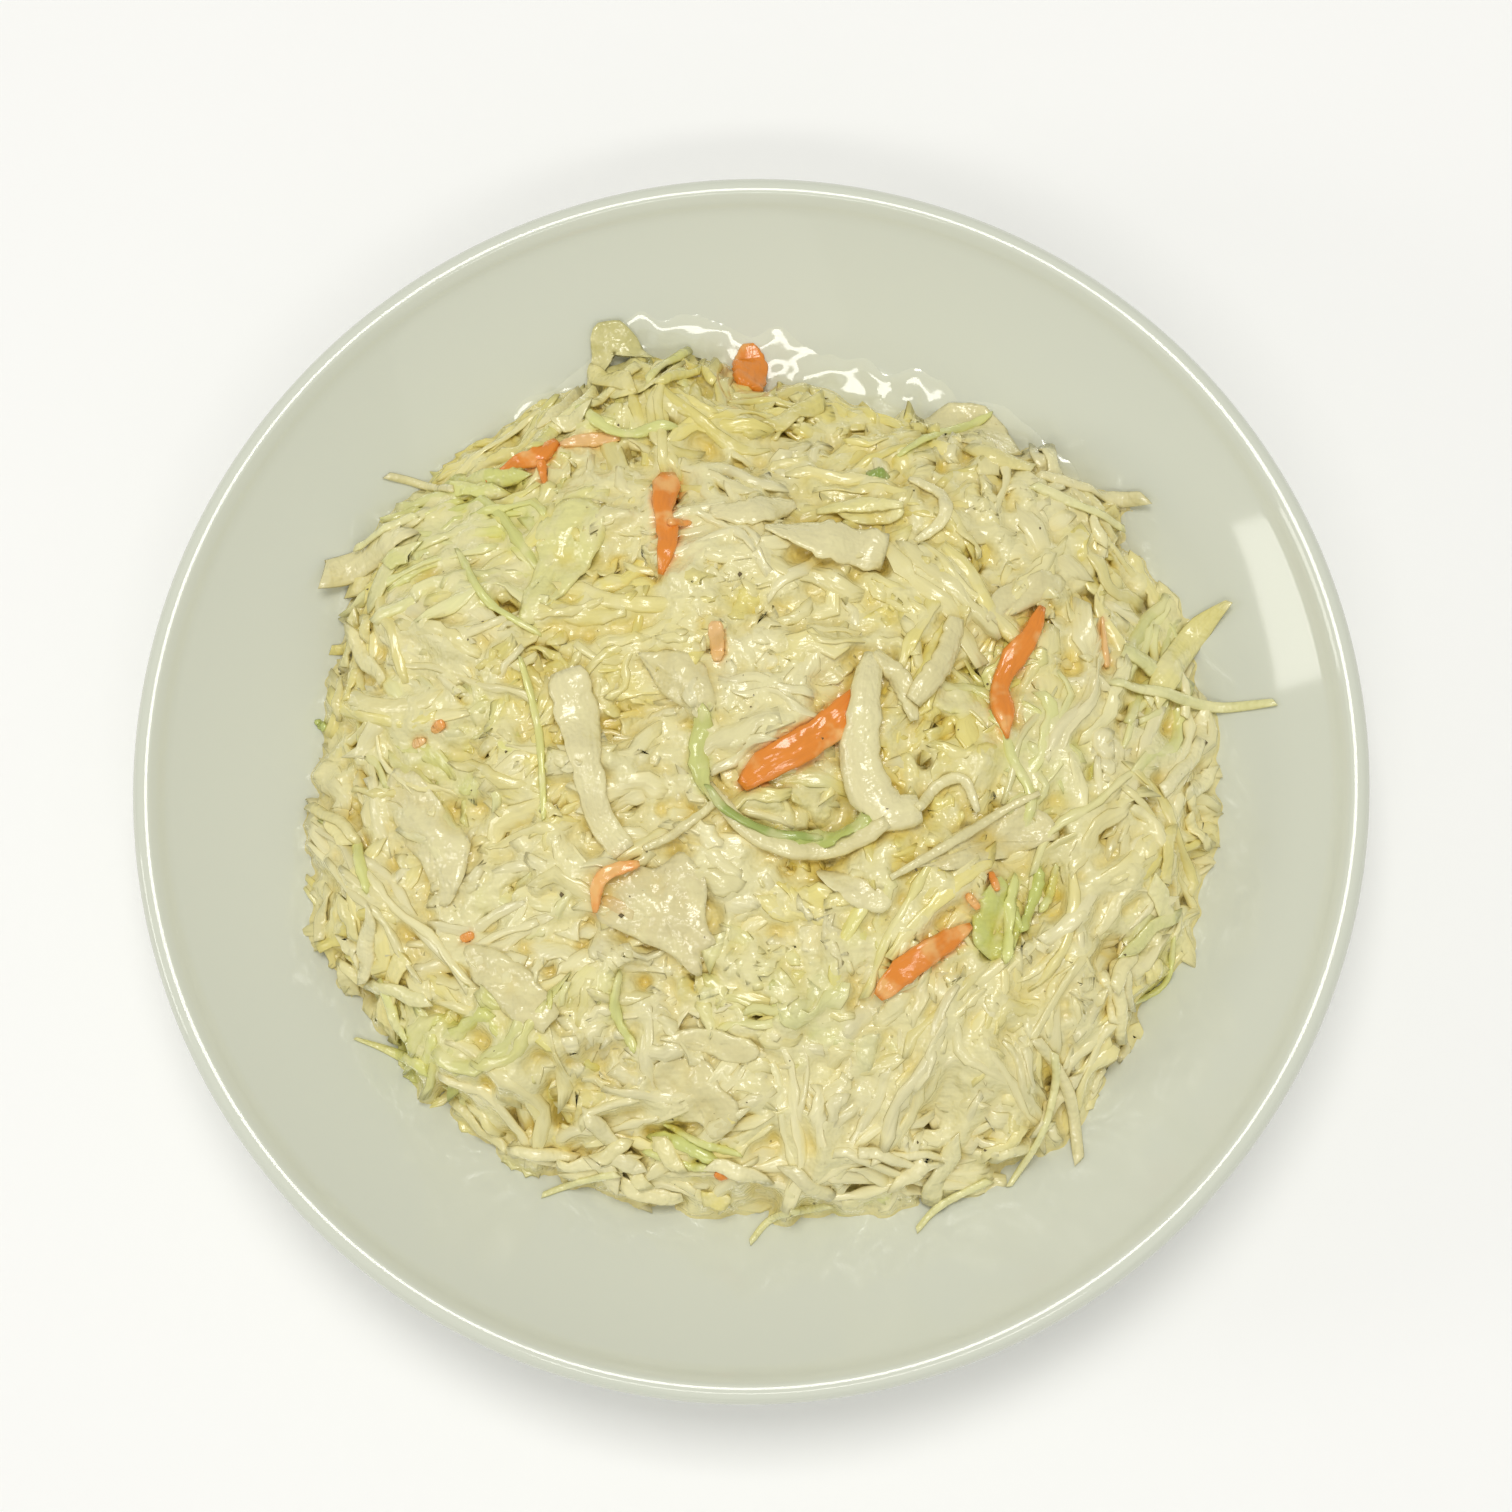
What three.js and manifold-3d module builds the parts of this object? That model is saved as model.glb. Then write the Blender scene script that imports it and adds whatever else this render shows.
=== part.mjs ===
// A serving of coleslaw heaped in a shallow white bowl.
// Millimetres, +Z up, origin at the centre of the foot's underside, +X to the server's right.
// The bowl is turned from one profile. The coleslaw is one solid: a lumpy core of packed
// cabbage with the shreds, ribs, leaf flakes and carrot sticks that show fused onto it.
import * as THREE from "three";
import { mergeVertices } from "three/addons/utils/BufferGeometryUtils.js";
import Module from "manifold-3d";

// Bowl: driving dimensions
const RIM_RADIUS = 100;
const BOWL_HEIGHT = 34;
const WALL = 4.4; // the lip is a round bead as thick as the wall
const FLOOR_Z = 7; // top of the flat floor
const FLAT_RADIUS = 30; // where the floor starts to curve up
const FOOT_RADIUS = 50;
const FOOT_WIDTH = 4.4;
const FOOT_CHAMFER = 0.6;
const BOWL_SEGMENTS = 56;
const OUTSIDE_STEPS = 6;
const LIP_STEPS = 5;
const INSIDE_STEPS = 8;

// Heap: driving dimensions
const HEAP_CENTRE = [2.7, 0.3];
const HEAP_RADIUS = 73;
const HEAP_TOP = 46.5; // crown of the smooth core, before lumps and shreds
const HEAP_FOOT = 16; // height at which the heap's flank meets the bowl
const DOME_FULLNESS = 2.4; // how far out the crown stays level
const DOME_FLANK = 0.72; // below 1 the flank steepens towards its foot
const CLEARANCE = 0.5; // between the food and the glaze
// Outline waves: [how many round the heap, size, direction of the bulge in degrees]
const OUTLINE_WAVES = [
  [1, 2.1, -142],
  [2, 2.4, -21],
  [3, 0.8, 5],
  [4, 1.8, 149],
  [7, 1, -41],
];
// Lumps on the crown: [size, wavelength, direction in degrees]
const LUMPS = [
  [1.1, 31, 20],
  [0.9, 23, 95],
  [0.7, 17, 150],
  [0.5, 13, 60],
];
const CORE_SECTORS = 44;
const CORE_TOP_RINGS = 9;
const CORE_UNDER_RINGS = 3;

// Loose shreds over the whole heap, besides the pieces named below
const SHRED_COUNT = 51;
const SHRED_LENGTH = [18, 40];
const SHRED_WIDTH = [2, 3.4];
const SHRED_THICK = 1.4;
const SHRED_LIFT = [0.2, 2]; // how high a shred's underside arches over the core
const BURIED = -2; // height of an end that is tucked into the heap
const SHRED_STEP = 10; // longest stretch between two sections
const LEAF_ACROSS = 3;
const LEAF_RIPPLE = 0.7;
const SEED = 20;

// The pieces that stand out. Each is an arc seen from above: [x, y] is its middle, heading and
// bend are in degrees, lift is the height of its middle over the heap and ends the height of
// its two ends, which are tucked in where none is given.
const RIBS_AND_STRIPS = [
  { at: [18.8, 3.8], heading: -75, bend: 85, length: 31, width: 6.6, thick: 2.8, lift: 1.2 },
  { at: [33.7, -3.2], heading: -10, bend: -130, length: 14, width: 1.9, lift: 0.6 },
  { at: [-23.4, 0], heading: -70, bend: 12, length: 31, width: 7, lift: 0.9 },
  { at: [17.7, -20.5], heading: -13, length: 14, width: 5.3, lift: 0.4 },
  { at: [8.2, -14], heading: -12, bend: 80, length: 33, width: 3.4, lift: 0.3 },
  { at: [1.7, -10], heading: -28, bend: 115, length: 39, width: 1.9, lift: 0.8 },
  { at: [49.2, -18.7], heading: 231, length: 8, width: 2.8, lift: 0.4 },
  { at: [22.2, 48.3], heading: 0, length: 5, width: 2.8, lift: 0.4 },
  { at: [-28.8, -44.2], heading: -35, bend: 20, length: 34, width: 3, lift: 0.4 },
  { at: [38.2, -50.2], heading: 25, bend: 30, length: 36, width: 3, lift: 0.4 },
];
const TRAILING_SHREDS = [
  { at: [-61.8, 40.3], heading: 200, length: 21, width: 3.8, ends: [BURIED, 3.5] },
  { at: [56.2, 50.3], heading: -12, length: 23, width: 2.2, ends: [BURIED, 4] },
  { at: [55.2, 45.8], heading: -10, length: 19, width: 2.2, ends: [BURIED, 2] },
  { at: [72.7, 22.3], heading: 50, bend: -25, length: 21, width: 3.1, ends: [BURIED, 4] },
  { at: [70.2, 12.8], heading: -3, length: 33, width: 1.7, ends: [BURIED, 1] },
  { at: [66.7, -33.7], heading: 55, bend: 70, length: 16, width: 1.4, ends: [BURIED, 0] },
  { at: [51.2, -53.2], heading: -75, bend: -15, length: 23, width: 2.5, ends: [BURIED, 1] },
  { at: [47.2, -59.2], heading: -110, bend: -35, length: 25, width: 2.6, ends: [BURIED, 1] },
  { at: [6.2, -70.7], heading: 210, bend: 50, length: 19, width: 2.4, ends: [BURIED, 0.5] },
  { at: [-60.8, -43.2], heading: 165, length: 15, width: 2.5, ends: [BURIED, 1] },
];
const LEAF_FLAKES = [
  { at: [-13, -24], heading: -45, length: 20, width: 16, lift: 0.9 },
  { at: [-50.5, -10.5], heading: -65, length: 25, width: 11, lift: 0.7 },
  { at: [-7.5, -52.5], heading: -45, length: 18, width: 12, lift: 0.9 },
  { at: [10, 38], heading: -18, length: 31, width: 9, lift: 0.8 },
  { at: [43.2, -11.7], heading: 32, length: 23, width: 6.6, lift: 0.7 },
  { at: [-28.5, 34], heading: 245, length: 25, width: 11, lift: 0.8 },
  { at: [40.5, -24.5], heading: 255, length: 16, width: 8.5, lift: 1.2 },
  { at: [-10, -60], heading: -28, length: 12, width: 6, lift: 0.5 },
  { at: [-21, 73], heading: 115, length: 18, width: 9, ends: [BURIED, 4] },
];
const CARROT_THICK = 2.5;
const CARROT_STICKS = [
  { at: [9.5, 2], heading: 39, bend: 12, length: 26, width: 5.4, lift: 0.9 },
  { at: [43, 15], heading: -108, bend: 40, length: 23, width: 4.2, lift: 0.7 },
  { at: [28.5, -31.5], heading: 38, bend: 4, length: 19, width: 4.4, lift: 0.7 },
  { at: [-12.2, 39], heading: -89, length: 18, width: 4, lift: 0.7 },
  { at: [-32, 54], heading: 14, bend: -20, length: 25, width: 2.8, lift: 0.7 },
  { at: [0.3, 68.3], heading: 90, length: 17, width: 6, ends: [BURIED, 0.5] },
  { at: [-20.5, -19], heading: 225, bend: 80, length: 11, width: 2.4, lift: 1.4 },
  { at: [-2.3, -63.7], heading: -45, length: 7, width: 2.8, lift: 0.3 },
];

const GLAZE_COLOUR = 0xe4e5da;
const CABBAGE_COLOUR = 0xe0d6a0;

const wasm = await Module();
wasm.setup();

const radians = THREE.MathUtils.degToRad;
const lerp = THREE.MathUtils.lerp;

// Random numbers from 0 to 1, the same ones each time.
function seededRandom(seed) {
  let state = seed;
  return () => {
    state = (state + 0x6d2b79f5) | 0;
    let t = Math.imul(state ^ (state >>> 15), 1 | state);
    t = (t + Math.imul(t ^ (t >>> 7), 61 | t)) ^ t;
    return ((t ^ (t >>> 14)) >>> 0) / 2 ** 32;
  };
}

// ---- Bowl ------------------------------------------------------------------------------

const LIP_RADIUS = WALL / 2;
const LIP_CENTRE = new THREE.Vector2(RIM_RADIUS - LIP_RADIUS, BOWL_HEIGHT - LIP_RADIUS);
const SIDE_RUN = RIM_RADIUS - WALL - FLAT_RADIUS;
const SIDE_RISE = LIP_CENTRE.y - FLOOR_Z;
// The side's arc leaves the floor level and reaches the lip after that run and rise.
const SIDE_RADIUS = (SIDE_RUN ** 2 + SIDE_RISE ** 2) / (2 * SIDE_RISE);
const SIDE_ANGLE = Math.asin(SIDE_RUN / SIDE_RADIUS);

function sidePoint(angle, radius) {
  return new THREE.Vector2(
    FLAT_RADIUS + radius * Math.sin(angle),
    FLOOR_Z + SIDE_RADIUS - radius * Math.cos(angle),
  );
}

function bowlProfile() {
  const footInside = FOOT_RADIUS - FOOT_WIDTH;
  const underside = FLOOR_Z - WALL;
  const points = [
    [0, underside],
    [footInside - FOOT_CHAMFER, underside],
    [footInside, FOOT_CHAMFER],
    [footInside + FOOT_CHAMFER, 0],
    [FOOT_RADIUS - FOOT_CHAMFER, 0],
    [FOOT_RADIUS, FOOT_CHAMFER],
  ].map(([r, z]) => new THREE.Vector2(r, z));
  const outerRadius = SIDE_RADIUS + WALL;
  const footAngle = Math.asin((FOOT_RADIUS + FOOT_CHAMFER - FLAT_RADIUS) / outerRadius);
  for (let i = 0; i <= OUTSIDE_STEPS; i++)
    points.push(sidePoint(lerp(footAngle, SIDE_ANGLE, i / OUTSIDE_STEPS), outerRadius));
  for (let i = 1; i < LIP_STEPS; i++) {
    const turn = SIDE_ANGLE - Math.PI / 2 + (Math.PI * i) / LIP_STEPS;
    const out = new THREE.Vector2(Math.cos(turn), Math.sin(turn));
    points.push(LIP_CENTRE.clone().addScaledVector(out, LIP_RADIUS));
  }
  for (let i = INSIDE_STEPS; i >= 0; i--)
    points.push(sidePoint((SIDE_ANGLE * i) / INSIDE_STEPS, SIDE_RADIUS));
  points.push(new THREE.Vector2(0, FLOOR_Z));
  return points;
}

// Height of the glaze inside the bowl at a distance from its axis.
function bowlInside(r) {
  const run = THREE.MathUtils.clamp(r - FLAT_RADIUS, 0, SIDE_RUN);
  return FLOOR_Z + SIDE_RADIUS - Math.sqrt(SIDE_RADIUS ** 2 - run ** 2);
}

// ---- Heap ------------------------------------------------------------------------------

// Distance from the heap's centre to its foot, in a direction.
function outline(angle) {
  return OUTLINE_WAVES.reduce(
    (sum, [count, size, bulge]) => sum + size * Math.cos(count * angle - radians(bulge)),
    HEAP_RADIUS,
  );
}

function lumps(x, y) {
  return LUMPS.reduce((sum, [size, wavelength, direction], i) => {
    const turn = radians(direction);
    const across = x * Math.cos(turn) + y * Math.sin(turn);
    const along = y * Math.cos(turn) - x * Math.sin(turn);
    const wave = (2 * Math.PI) / wavelength;
    return sum + size * Math.sin(across * wave + i) * Math.cos(along * wave * 0.8 + 2 * i);
  }, 0);
}

// The packed core's top: a dome that meets the bowl at its foot, with lumps on it.
function heapTop(x, y) {
  const dx = x - HEAP_CENTRE[0];
  const dy = y - HEAP_CENTRE[1];
  const share = Math.min(1, Math.hypot(dx, dy) / outline(Math.atan2(dy, dx)));
  const dome = (1 - share ** DOME_FULLNESS) ** DOME_FLANK;
  return HEAP_FOOT + (HEAP_TOP - HEAP_FOOT) * dome + lumps(x, y) * Math.min(1, 3 * dome);
}

// What a shred lies on: the heap, or past its foot the bowl.
function bed(x, y) {
  const dx = x - HEAP_CENTRE[0];
  const dy = y - HEAP_CENTRE[1];
  const glaze = bowlInside(Math.hypot(x, y)) + CLEARANCE;
  const onHeap = Math.hypot(dx, dy) < outline(Math.atan2(dy, dx));
  return onHeap ? Math.max(heapTop(x, y), glaze) : glaze;
}

function bedNormal(x, y) {
  const step = 1.5;
  const slopeX = (bed(x + step, y) - bed(x - step, y)) / (2 * step);
  const slopeY = (bed(x, y + step) - bed(x, y - step)) / (2 * step);
  return new THREE.Vector3(-slopeX, -slopeY, 1).normalize();
}

// A closed solid from rings of points, each ring with the same count, closed by a point at
// each end.
function closedRings(first, rings, last) {
  const count = rings[0].length;
  const points = [first, ...rings.flat(), last];
  const index = [];
  for (let j = 0; j < count; j++) {
    const next = (j + 1) % count;
    index.push(0, 1 + j, 1 + next);
    for (let i = 0; i + 1 < rings.length; i++) {
      const [a, b] = [1 + i * count + j, 1 + i * count + next];
      index.push(a, a + count, b + count, a, b + count, b);
    }
    const end = 1 + (rings.length - 1) * count;
    index.push(points.length - 1, end + next, end + j);
  }
  return new THREE.BufferGeometry().setFromPoints(points).setIndex(index);
}

function heapCore() {
  const ring = (share, height) =>
    Array.from({ length: CORE_SECTORS }, (_, j) => {
      const angle = (2 * Math.PI * j) / CORE_SECTORS;
      const reach = share * outline(angle);
      const x = HEAP_CENTRE[0] + reach * Math.cos(angle);
      const y = HEAP_CENTRE[1] + reach * Math.sin(angle);
      return new THREE.Vector3(x, y, height(x, y));
    });
  const glaze = (x, y) => bowlInside(Math.hypot(x, y)) + CLEARANCE;
  const top = (x, y) => Math.max(heapTop(x, y), glaze(x, y) + CLEARANCE);
  const rings = [];
  for (let i = 1; i <= CORE_TOP_RINGS; i++)
    rings.push(ring(Math.sin((Math.PI / 2) * (i / CORE_TOP_RINGS)), top));
  for (let i = CORE_UNDER_RINGS; i >= 1; i--) rings.push(ring(i / (CORE_UNDER_RINGS + 1), glaze));
  const [x, y] = HEAP_CENTRE;
  const crown = new THREE.Vector3(x, y, heapTop(x, y));
  const under = new THREE.Vector3(x, y, glaze(x, y));
  return closedRings(crown, rings, under);
}

// A thin solid between an upper and a lower grid of points, both split into triangles alike.
function slab(along, across, pointAt) {
  const points = [];
  for (const side of [0, 1])
    for (let i = 0; i <= along; i++)
      for (let j = 0; j <= across; j++) points.push(pointAt(i / along, j / across, side));
  const at = (side, i, j) => (side * (along + 1) + i) * (across + 1) + j;
  const index = [];
  const quad = (a, b, c, d) => index.push(a, b, c, a, c, d);
  for (let i = 0; i < along; i++)
    for (let j = 0; j < across; j++) {
      const corners = [[i, j], [i + 1, j], [i + 1, j + 1], [i, j + 1]];
      const [a, b, c, d] = corners.map(([u, v]) => at(0, u, v));
      quad(...corners.map(([u, v]) => at(1, u, v)));
      index.push(a, c, b, a, d, c);
    }
  const wall = (from, to) => quad(at(0, ...from), at(0, ...to), at(1, ...to), at(1, ...from));
  for (let i = 0; i < along; i++) {
    wall([i, 0], [i + 1, 0]);
    wall([i + 1, across], [i, across]);
  }
  for (let j = 0; j < across; j++) {
    wall([along, j], [along, j + 1]);
    wall([0, j + 1], [0, j]);
  }
  return new THREE.BufferGeometry().setFromPoints(points).setIndex(index);
}

// A piece laid on the heap along an arc, with tapered ends.
function laidPiece(piece, across = 1, ripple = 0) {
  const { at, length, width, bend = 0, thick = SHRED_THICK } = piece;
  const { lift = 0.3, ends = [BURIED, BURIED] } = piece;
  const turn = radians(bend);
  const middle = radians(piece.heading);
  const place = (u, offset) => {
    const heading = middle + turn * (u - 0.5);
    const straight = Math.abs(turn) < 1e-3;
    const radius = straight ? 0 : length / turn;
    const dx = straight
      ? length * (u - 0.5) * Math.cos(middle)
      : radius * (Math.sin(heading) - Math.sin(middle));
    const dy = straight
      ? length * (u - 0.5) * Math.sin(middle)
      : radius * (Math.cos(middle) - Math.cos(heading));
    return [
      at[0] + dx - offset * Math.sin(heading),
      at[1] + dy + offset * Math.cos(heading),
    ];
  };
  const steps = Math.max(3, Math.ceil(length / SHRED_STEP));
  return slab(steps, across, (u, v, side) => {
    const taper = 0.45 + 0.55 * Math.sqrt(Math.sin(Math.PI * lerp(0.04, 0.96, u)));
    const [x, y] = place(u, width * taper * (v - 0.5));
    const off = lerp(lift, ends[u < 0.5 ? 0 : 1], Math.abs(2 * u - 1) ** 3);
    const wave = ripple * Math.sin(7 * u + 5 * v + length) * Math.sin(Math.PI * v + 0.6);
    const floor = bowlInside(Math.hypot(x, y)) + CLEARANCE;
    const point = new THREE.Vector3(x, y, Math.max(bed(x, y) + off + wave, floor));
    return side ? point.addScaledVector(bedNormal(...place(u, 0)), thick) : point;
  });
}

// Shreds spread evenly over the heap on a sunflower spiral. Near the foot they run round it.
function looseShreds() {
  const random = seededRandom(SEED);
  const between = ([low, high]) => lerp(low, high, random());
  const golden = Math.PI * (3 - Math.sqrt(5));
  return Array.from({ length: SHRED_COUNT }, (_, i) => {
    const share = 0.97 * Math.sqrt((i + 0.5) / SHRED_COUNT);
    const angle = i * golden;
    const reach = share * outline(angle);
    const spread = 180 * (1 - 0.7 * share ** 2);
    return {
      at: [HEAP_CENTRE[0] + reach * Math.cos(angle), HEAP_CENTRE[1] + reach * Math.sin(angle)],
      heading: THREE.MathUtils.radToDeg(angle) + 90 + spread * (random() - 0.5),
      bend: 110 * (random() - 0.35),
      length: between(SHRED_LENGTH),
      width: between(SHRED_WIDTH),
      lift: between(SHRED_LIFT),
    };
  });
}

// ---- Joining ---------------------------------------------------------------------------

function solidOf(geometry) {
  geometry.deleteAttribute("normal");
  geometry.deleteAttribute("uv");
  const merged = mergeVertices(geometry, 1e-4);
  return new wasm.Manifold(
    new wasm.Mesh({
      numProp: 3,
      vertProperties: merged.attributes.position.array,
      triVerts: new Uint32Array(merged.index.array),
    }),
  );
}

function geometryOf(solid) {
  const { vertProperties, triVerts } = solid.getMesh();
  return new THREE.BufferGeometry()
    .setAttribute("position", new THREE.BufferAttribute(vertProperties, 3))
    .setIndex(new THREE.BufferAttribute(triVerts, 1));
}

// Fuses the solids and keeps the one large body, which fills sealed hollows.
function fused(solids) {
  const bodies = wasm.Manifold.union(solids).simplify(0.02).decompose();
  return bodies.reduce((best, body) => (body.volume() > best.volume() ? body : best));
}

function coleslawGeometry() {
  const carrots = CARROT_STICKS.map((piece) => ({ thick: CARROT_THICK, ...piece }));
  const strips = [...looseShreds(), ...RIBS_AND_STRIPS, ...TRAILING_SHREDS, ...carrots];
  const pieces = strips.map((piece) => laidPiece(piece));
  const flakes = LEAF_FLAKES.map((piece) => laidPiece(piece, LEAF_ACROSS, LEAF_RIPPLE));
  return geometryOf(fused([heapCore(), ...pieces, ...flakes].map(solidOf)));
}

function namedMesh(name, geometry, color, roughness) {
  geometry.computeVertexNormals();
  const material = new THREE.MeshStandardMaterial({ color, roughness, metalness: 0 });
  const mesh = new THREE.Mesh(geometry, material);
  mesh.name = name;
  return mesh;
}

const bowl = namedMesh(
  "bowl",
  new THREE.LatheGeometry(bowlProfile(), BOWL_SEGMENTS).rotateX(Math.PI / 2),
  GLAZE_COLOUR,
  0.15,
);
const coleslaw = namedMesh("coleslaw", coleslawGeometry(), CABBAGE_COLOUR, 0.35);

const serving = new THREE.Group();
serving.add(bowl, coleslaw);
export default serving;
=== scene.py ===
import math

import bpy
import numpy as np
from mathutils import Matrix, Vector


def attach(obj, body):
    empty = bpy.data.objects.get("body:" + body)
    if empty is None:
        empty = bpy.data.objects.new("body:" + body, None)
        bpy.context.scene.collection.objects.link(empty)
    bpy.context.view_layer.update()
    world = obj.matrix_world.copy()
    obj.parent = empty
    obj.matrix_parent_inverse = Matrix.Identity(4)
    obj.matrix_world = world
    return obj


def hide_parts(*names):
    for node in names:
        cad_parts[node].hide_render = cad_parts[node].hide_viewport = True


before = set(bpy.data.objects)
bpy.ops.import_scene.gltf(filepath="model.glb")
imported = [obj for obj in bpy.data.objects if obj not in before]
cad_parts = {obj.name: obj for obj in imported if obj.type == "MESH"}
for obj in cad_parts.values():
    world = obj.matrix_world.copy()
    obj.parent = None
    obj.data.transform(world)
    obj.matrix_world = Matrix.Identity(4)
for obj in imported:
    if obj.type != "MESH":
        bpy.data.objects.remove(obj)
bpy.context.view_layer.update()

# ---- Camera ------------------------------------------------------------------------------
# It looks down into the bowl from a little in front and to the right, through a short
# telephoto lens, with the bowl's back at the top of the picture.
RIM_CENTRE = Vector((0, 0, 0.034))
AZIMUTH, ELEVATION = math.radians(20), math.radians(81)
DISTANCE = 0.45
back = Vector(
    (
        math.sin(AZIMUTH) * math.cos(ELEVATION),
        -math.cos(AZIMUTH) * math.cos(ELEVATION),
        math.sin(ELEVATION),
    )
)
up = Vector((0, 1, 0))
up = (up - back * back.dot(up)).normalized()
right = up.cross(back)
camera = bpy.data.objects.new("camera", bpy.data.cameras.new("camera"))
camera.data.sensor_width = 36
camera.data.lens = 66.6
camera.data.shift_x = 0.0083
camera.data.shift_y = 0.0095
camera.matrix_world = Matrix.Translation(RIM_CENTRE + back * DISTANCE) @ Matrix(
    (right, up, back)
).transposed().to_4x4()
bpy.context.collection.objects.link(camera)
bpy.context.scene.camera = camera

# ---- Light and floor ---------------------------------------------------------------------
# A broad soft light hangs over the table, a little to the back, with a narrow strip light and
# a weak fill in front. The strip shines in the wet dressing behind the heap, and a window to
# the left in the glaze of the bowl's right side. The floor is plain.
scene = bpy.context.scene
scene.view_settings.view_transform = "Standard"
scene.view_settings.look = "None"
world = bpy.data.worlds.new("room")
world.use_nodes = True
world.node_tree.nodes["Background"].inputs["Color"].default_value = (1, 1, 0.97, 1)
world.node_tree.nodes["Background"].inputs["Strength"].default_value = 0.445
scene.world = world


def area_light(name, place, aim, size, power):
    lamp = bpy.data.lights.new(name, "AREA")
    lamp.shape = "RECTANGLE"
    lamp.size, lamp.size_y = size
    lamp.energy = power
    lamp.color = (1, 0.99, 0.94)
    light = bpy.data.objects.new(name, lamp)
    light.location = place
    light.rotation_mode = "QUATERNION"
    light.rotation_quaternion = (Vector(aim) - Vector(place)).to_track_quat("-Z", "Y")
    bpy.context.collection.objects.link(light)
    return light


area_light("overhead_light", (0.02, 0.24, 1.2), (0, 0, 0.03), (0.5, 0.36), 5.95)
area_light("strip_light", (0.02, -0.46, 0.9), (0, 0.06, 0.025), (0.6, 0.11), 1.4)
area_light("fill_light", (0.25, -0.9, 0.75), (0, 0, 0.03), (1, 0.8), 0.8)
area_light("window_light", (-0.98, -0.13, 0.46), (0.086, 0.028, 0.027), (0.3, 0.25), 1.15)

bpy.ops.mesh.primitive_plane_add(size=8, location=(0, 0, -0.0004))
floor = bpy.context.object
floor.name = "floor"
floor_paint = bpy.data.materials.new("floor_paint")
floor_paint.use_nodes = True
floor_shader = floor_paint.node_tree.nodes["Principled BSDF"]
floor_shader.inputs["Base Color"].default_value = (0.96, 0.96, 0.96, 1)
floor_shader.inputs["Roughness"].default_value = 0.9
floor.data.materials.append(floor_paint)

# ---- Bowl --------------------------------------------------------------------------------
# A shallow round bowl of white glazed ceramic, turned in one piece: a flat middle, a side
# that curves up to a rounded lip, and a low foot ring underneath.
MM = 0.001
RIM_RADIUS, RIM_HEIGHT, WALL = 100.0, 34.0, 4.4
FLOOR_Z, FLAT_RADIUS = 7.0, 30.0
SIDE_RUN = RIM_RADIUS - WALL - FLAT_RADIUS
SIDE_RISE = RIM_HEIGHT - WALL / 2 - FLOOR_Z
SIDE_RADIUS = (SIDE_RUN**2 + SIDE_RISE**2) / (2 * SIDE_RISE)
SIDE_ANGLE = math.asin(SIDE_RUN / SIDE_RADIUS)


def side_point(angle, radius):
    return (
        FLAT_RADIUS + radius * math.sin(angle),
        FLOOR_Z + SIDE_RADIUS - radius * math.cos(angle),
    )


def bowl_profile():
    foot_in, foot_out = 45.6, 50.0
    under = FLOOR_Z - WALL
    points = [(0, under), (30, under), (foot_in - 2.5, under - 0.05), (foot_in - 0.9, under - 0.7)]
    points += [(foot_in - 0.1, 0.9), (foot_in + 0.3, 0.3), (foot_in + 1.1, 0), (foot_out - 1.1, 0)]
    points += [(foot_out - 0.3, 0.3), (foot_out, 1.0), (foot_out + 0.15, 3.2), (foot_out + 0.6, 4.6)]
    outer = SIDE_RADIUS + WALL
    start = math.asin((foot_out + 1.8 - FLAT_RADIUS) / outer)
    for i in range(25):
        points.append(side_point(start + (SIDE_ANGLE - start) * i / 24, outer))
    lip = WALL / 2
    for i in range(1, 14):
        turn = SIDE_ANGLE - math.pi / 2 + math.pi * i / 14
        points.append(
            (
                RIM_RADIUS - lip + lip * math.cos(turn),
                RIM_HEIGHT - lip + lip * math.sin(turn),
            )
        )
    for i in range(32, -1, -1):
        points.append(side_point(SIDE_ANGLE * i / 32, SIDE_RADIUS))
    points += [(20, FLOOR_Z), (10, FLOOR_Z), (0, FLOOR_Z)]
    return points


def new_piece(name, verts, faces, material, *nodes, slot="slaw"):
    """A mesh in millimetres becomes a smooth piece of the object."""
    mesh = bpy.data.meshes.new(name)
    mesh.from_pydata((np.asarray(verts) * MM).tolist(), [], faces)
    mesh.shade_smooth()
    mesh.materials.append(material)
    piece = bpy.data.objects.new(name, mesh)
    bpy.context.collection.objects.link(piece)
    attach(piece, "root")
    if nodes:
        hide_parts(*nodes)
    return piece


def turned(profile, segments):
    """Vertices and faces of a profile of (radius, height) turned about Z, closed at both ends."""
    rings = [p for p in profile if p[0] > 0]
    verts = [(0, 0, profile[0][1]), (0, 0, profile[-1][1])]
    for r, z in rings:
        for k in range(segments):
            turn = 2 * math.pi * k / segments
            verts.append((r * math.cos(turn), r * math.sin(turn), z))
    faces = []
    last = 2 + (len(rings) - 1) * segments
    for k in range(segments):
        following = (k + 1) % segments
        faces.append((0, 2 + following, 2 + k))
        faces.append((1, last + k, last + following))
        for i in range(len(rings) - 1):
            row = 2 + i * segments
            faces.append((row + k, row + following, row + segments + following, row + segments + k))
    return verts, faces


def paint(red, green, blue):
    """A display colour from 0 to 255 as scene-linear RGBA."""
    linear = [
        c / 12.92 if c <= 0.04045 else ((c + 0.055) / 1.055) ** 2.4
        for c in (red / 255, green / 255, blue / 255)
    ]
    return (*linear, 1)


def new_material(name, **values):
    """A material with its Principled BSDF's own sockets set; returns it and the shader."""
    material = bpy.data.materials.new(name)
    material.use_nodes = True
    shader = material.node_tree.nodes["Principled BSDF"]
    for socket, value in values.items():
        shader.inputs[socket.replace("_", " ")].default_value = value
    return material, shader


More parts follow.
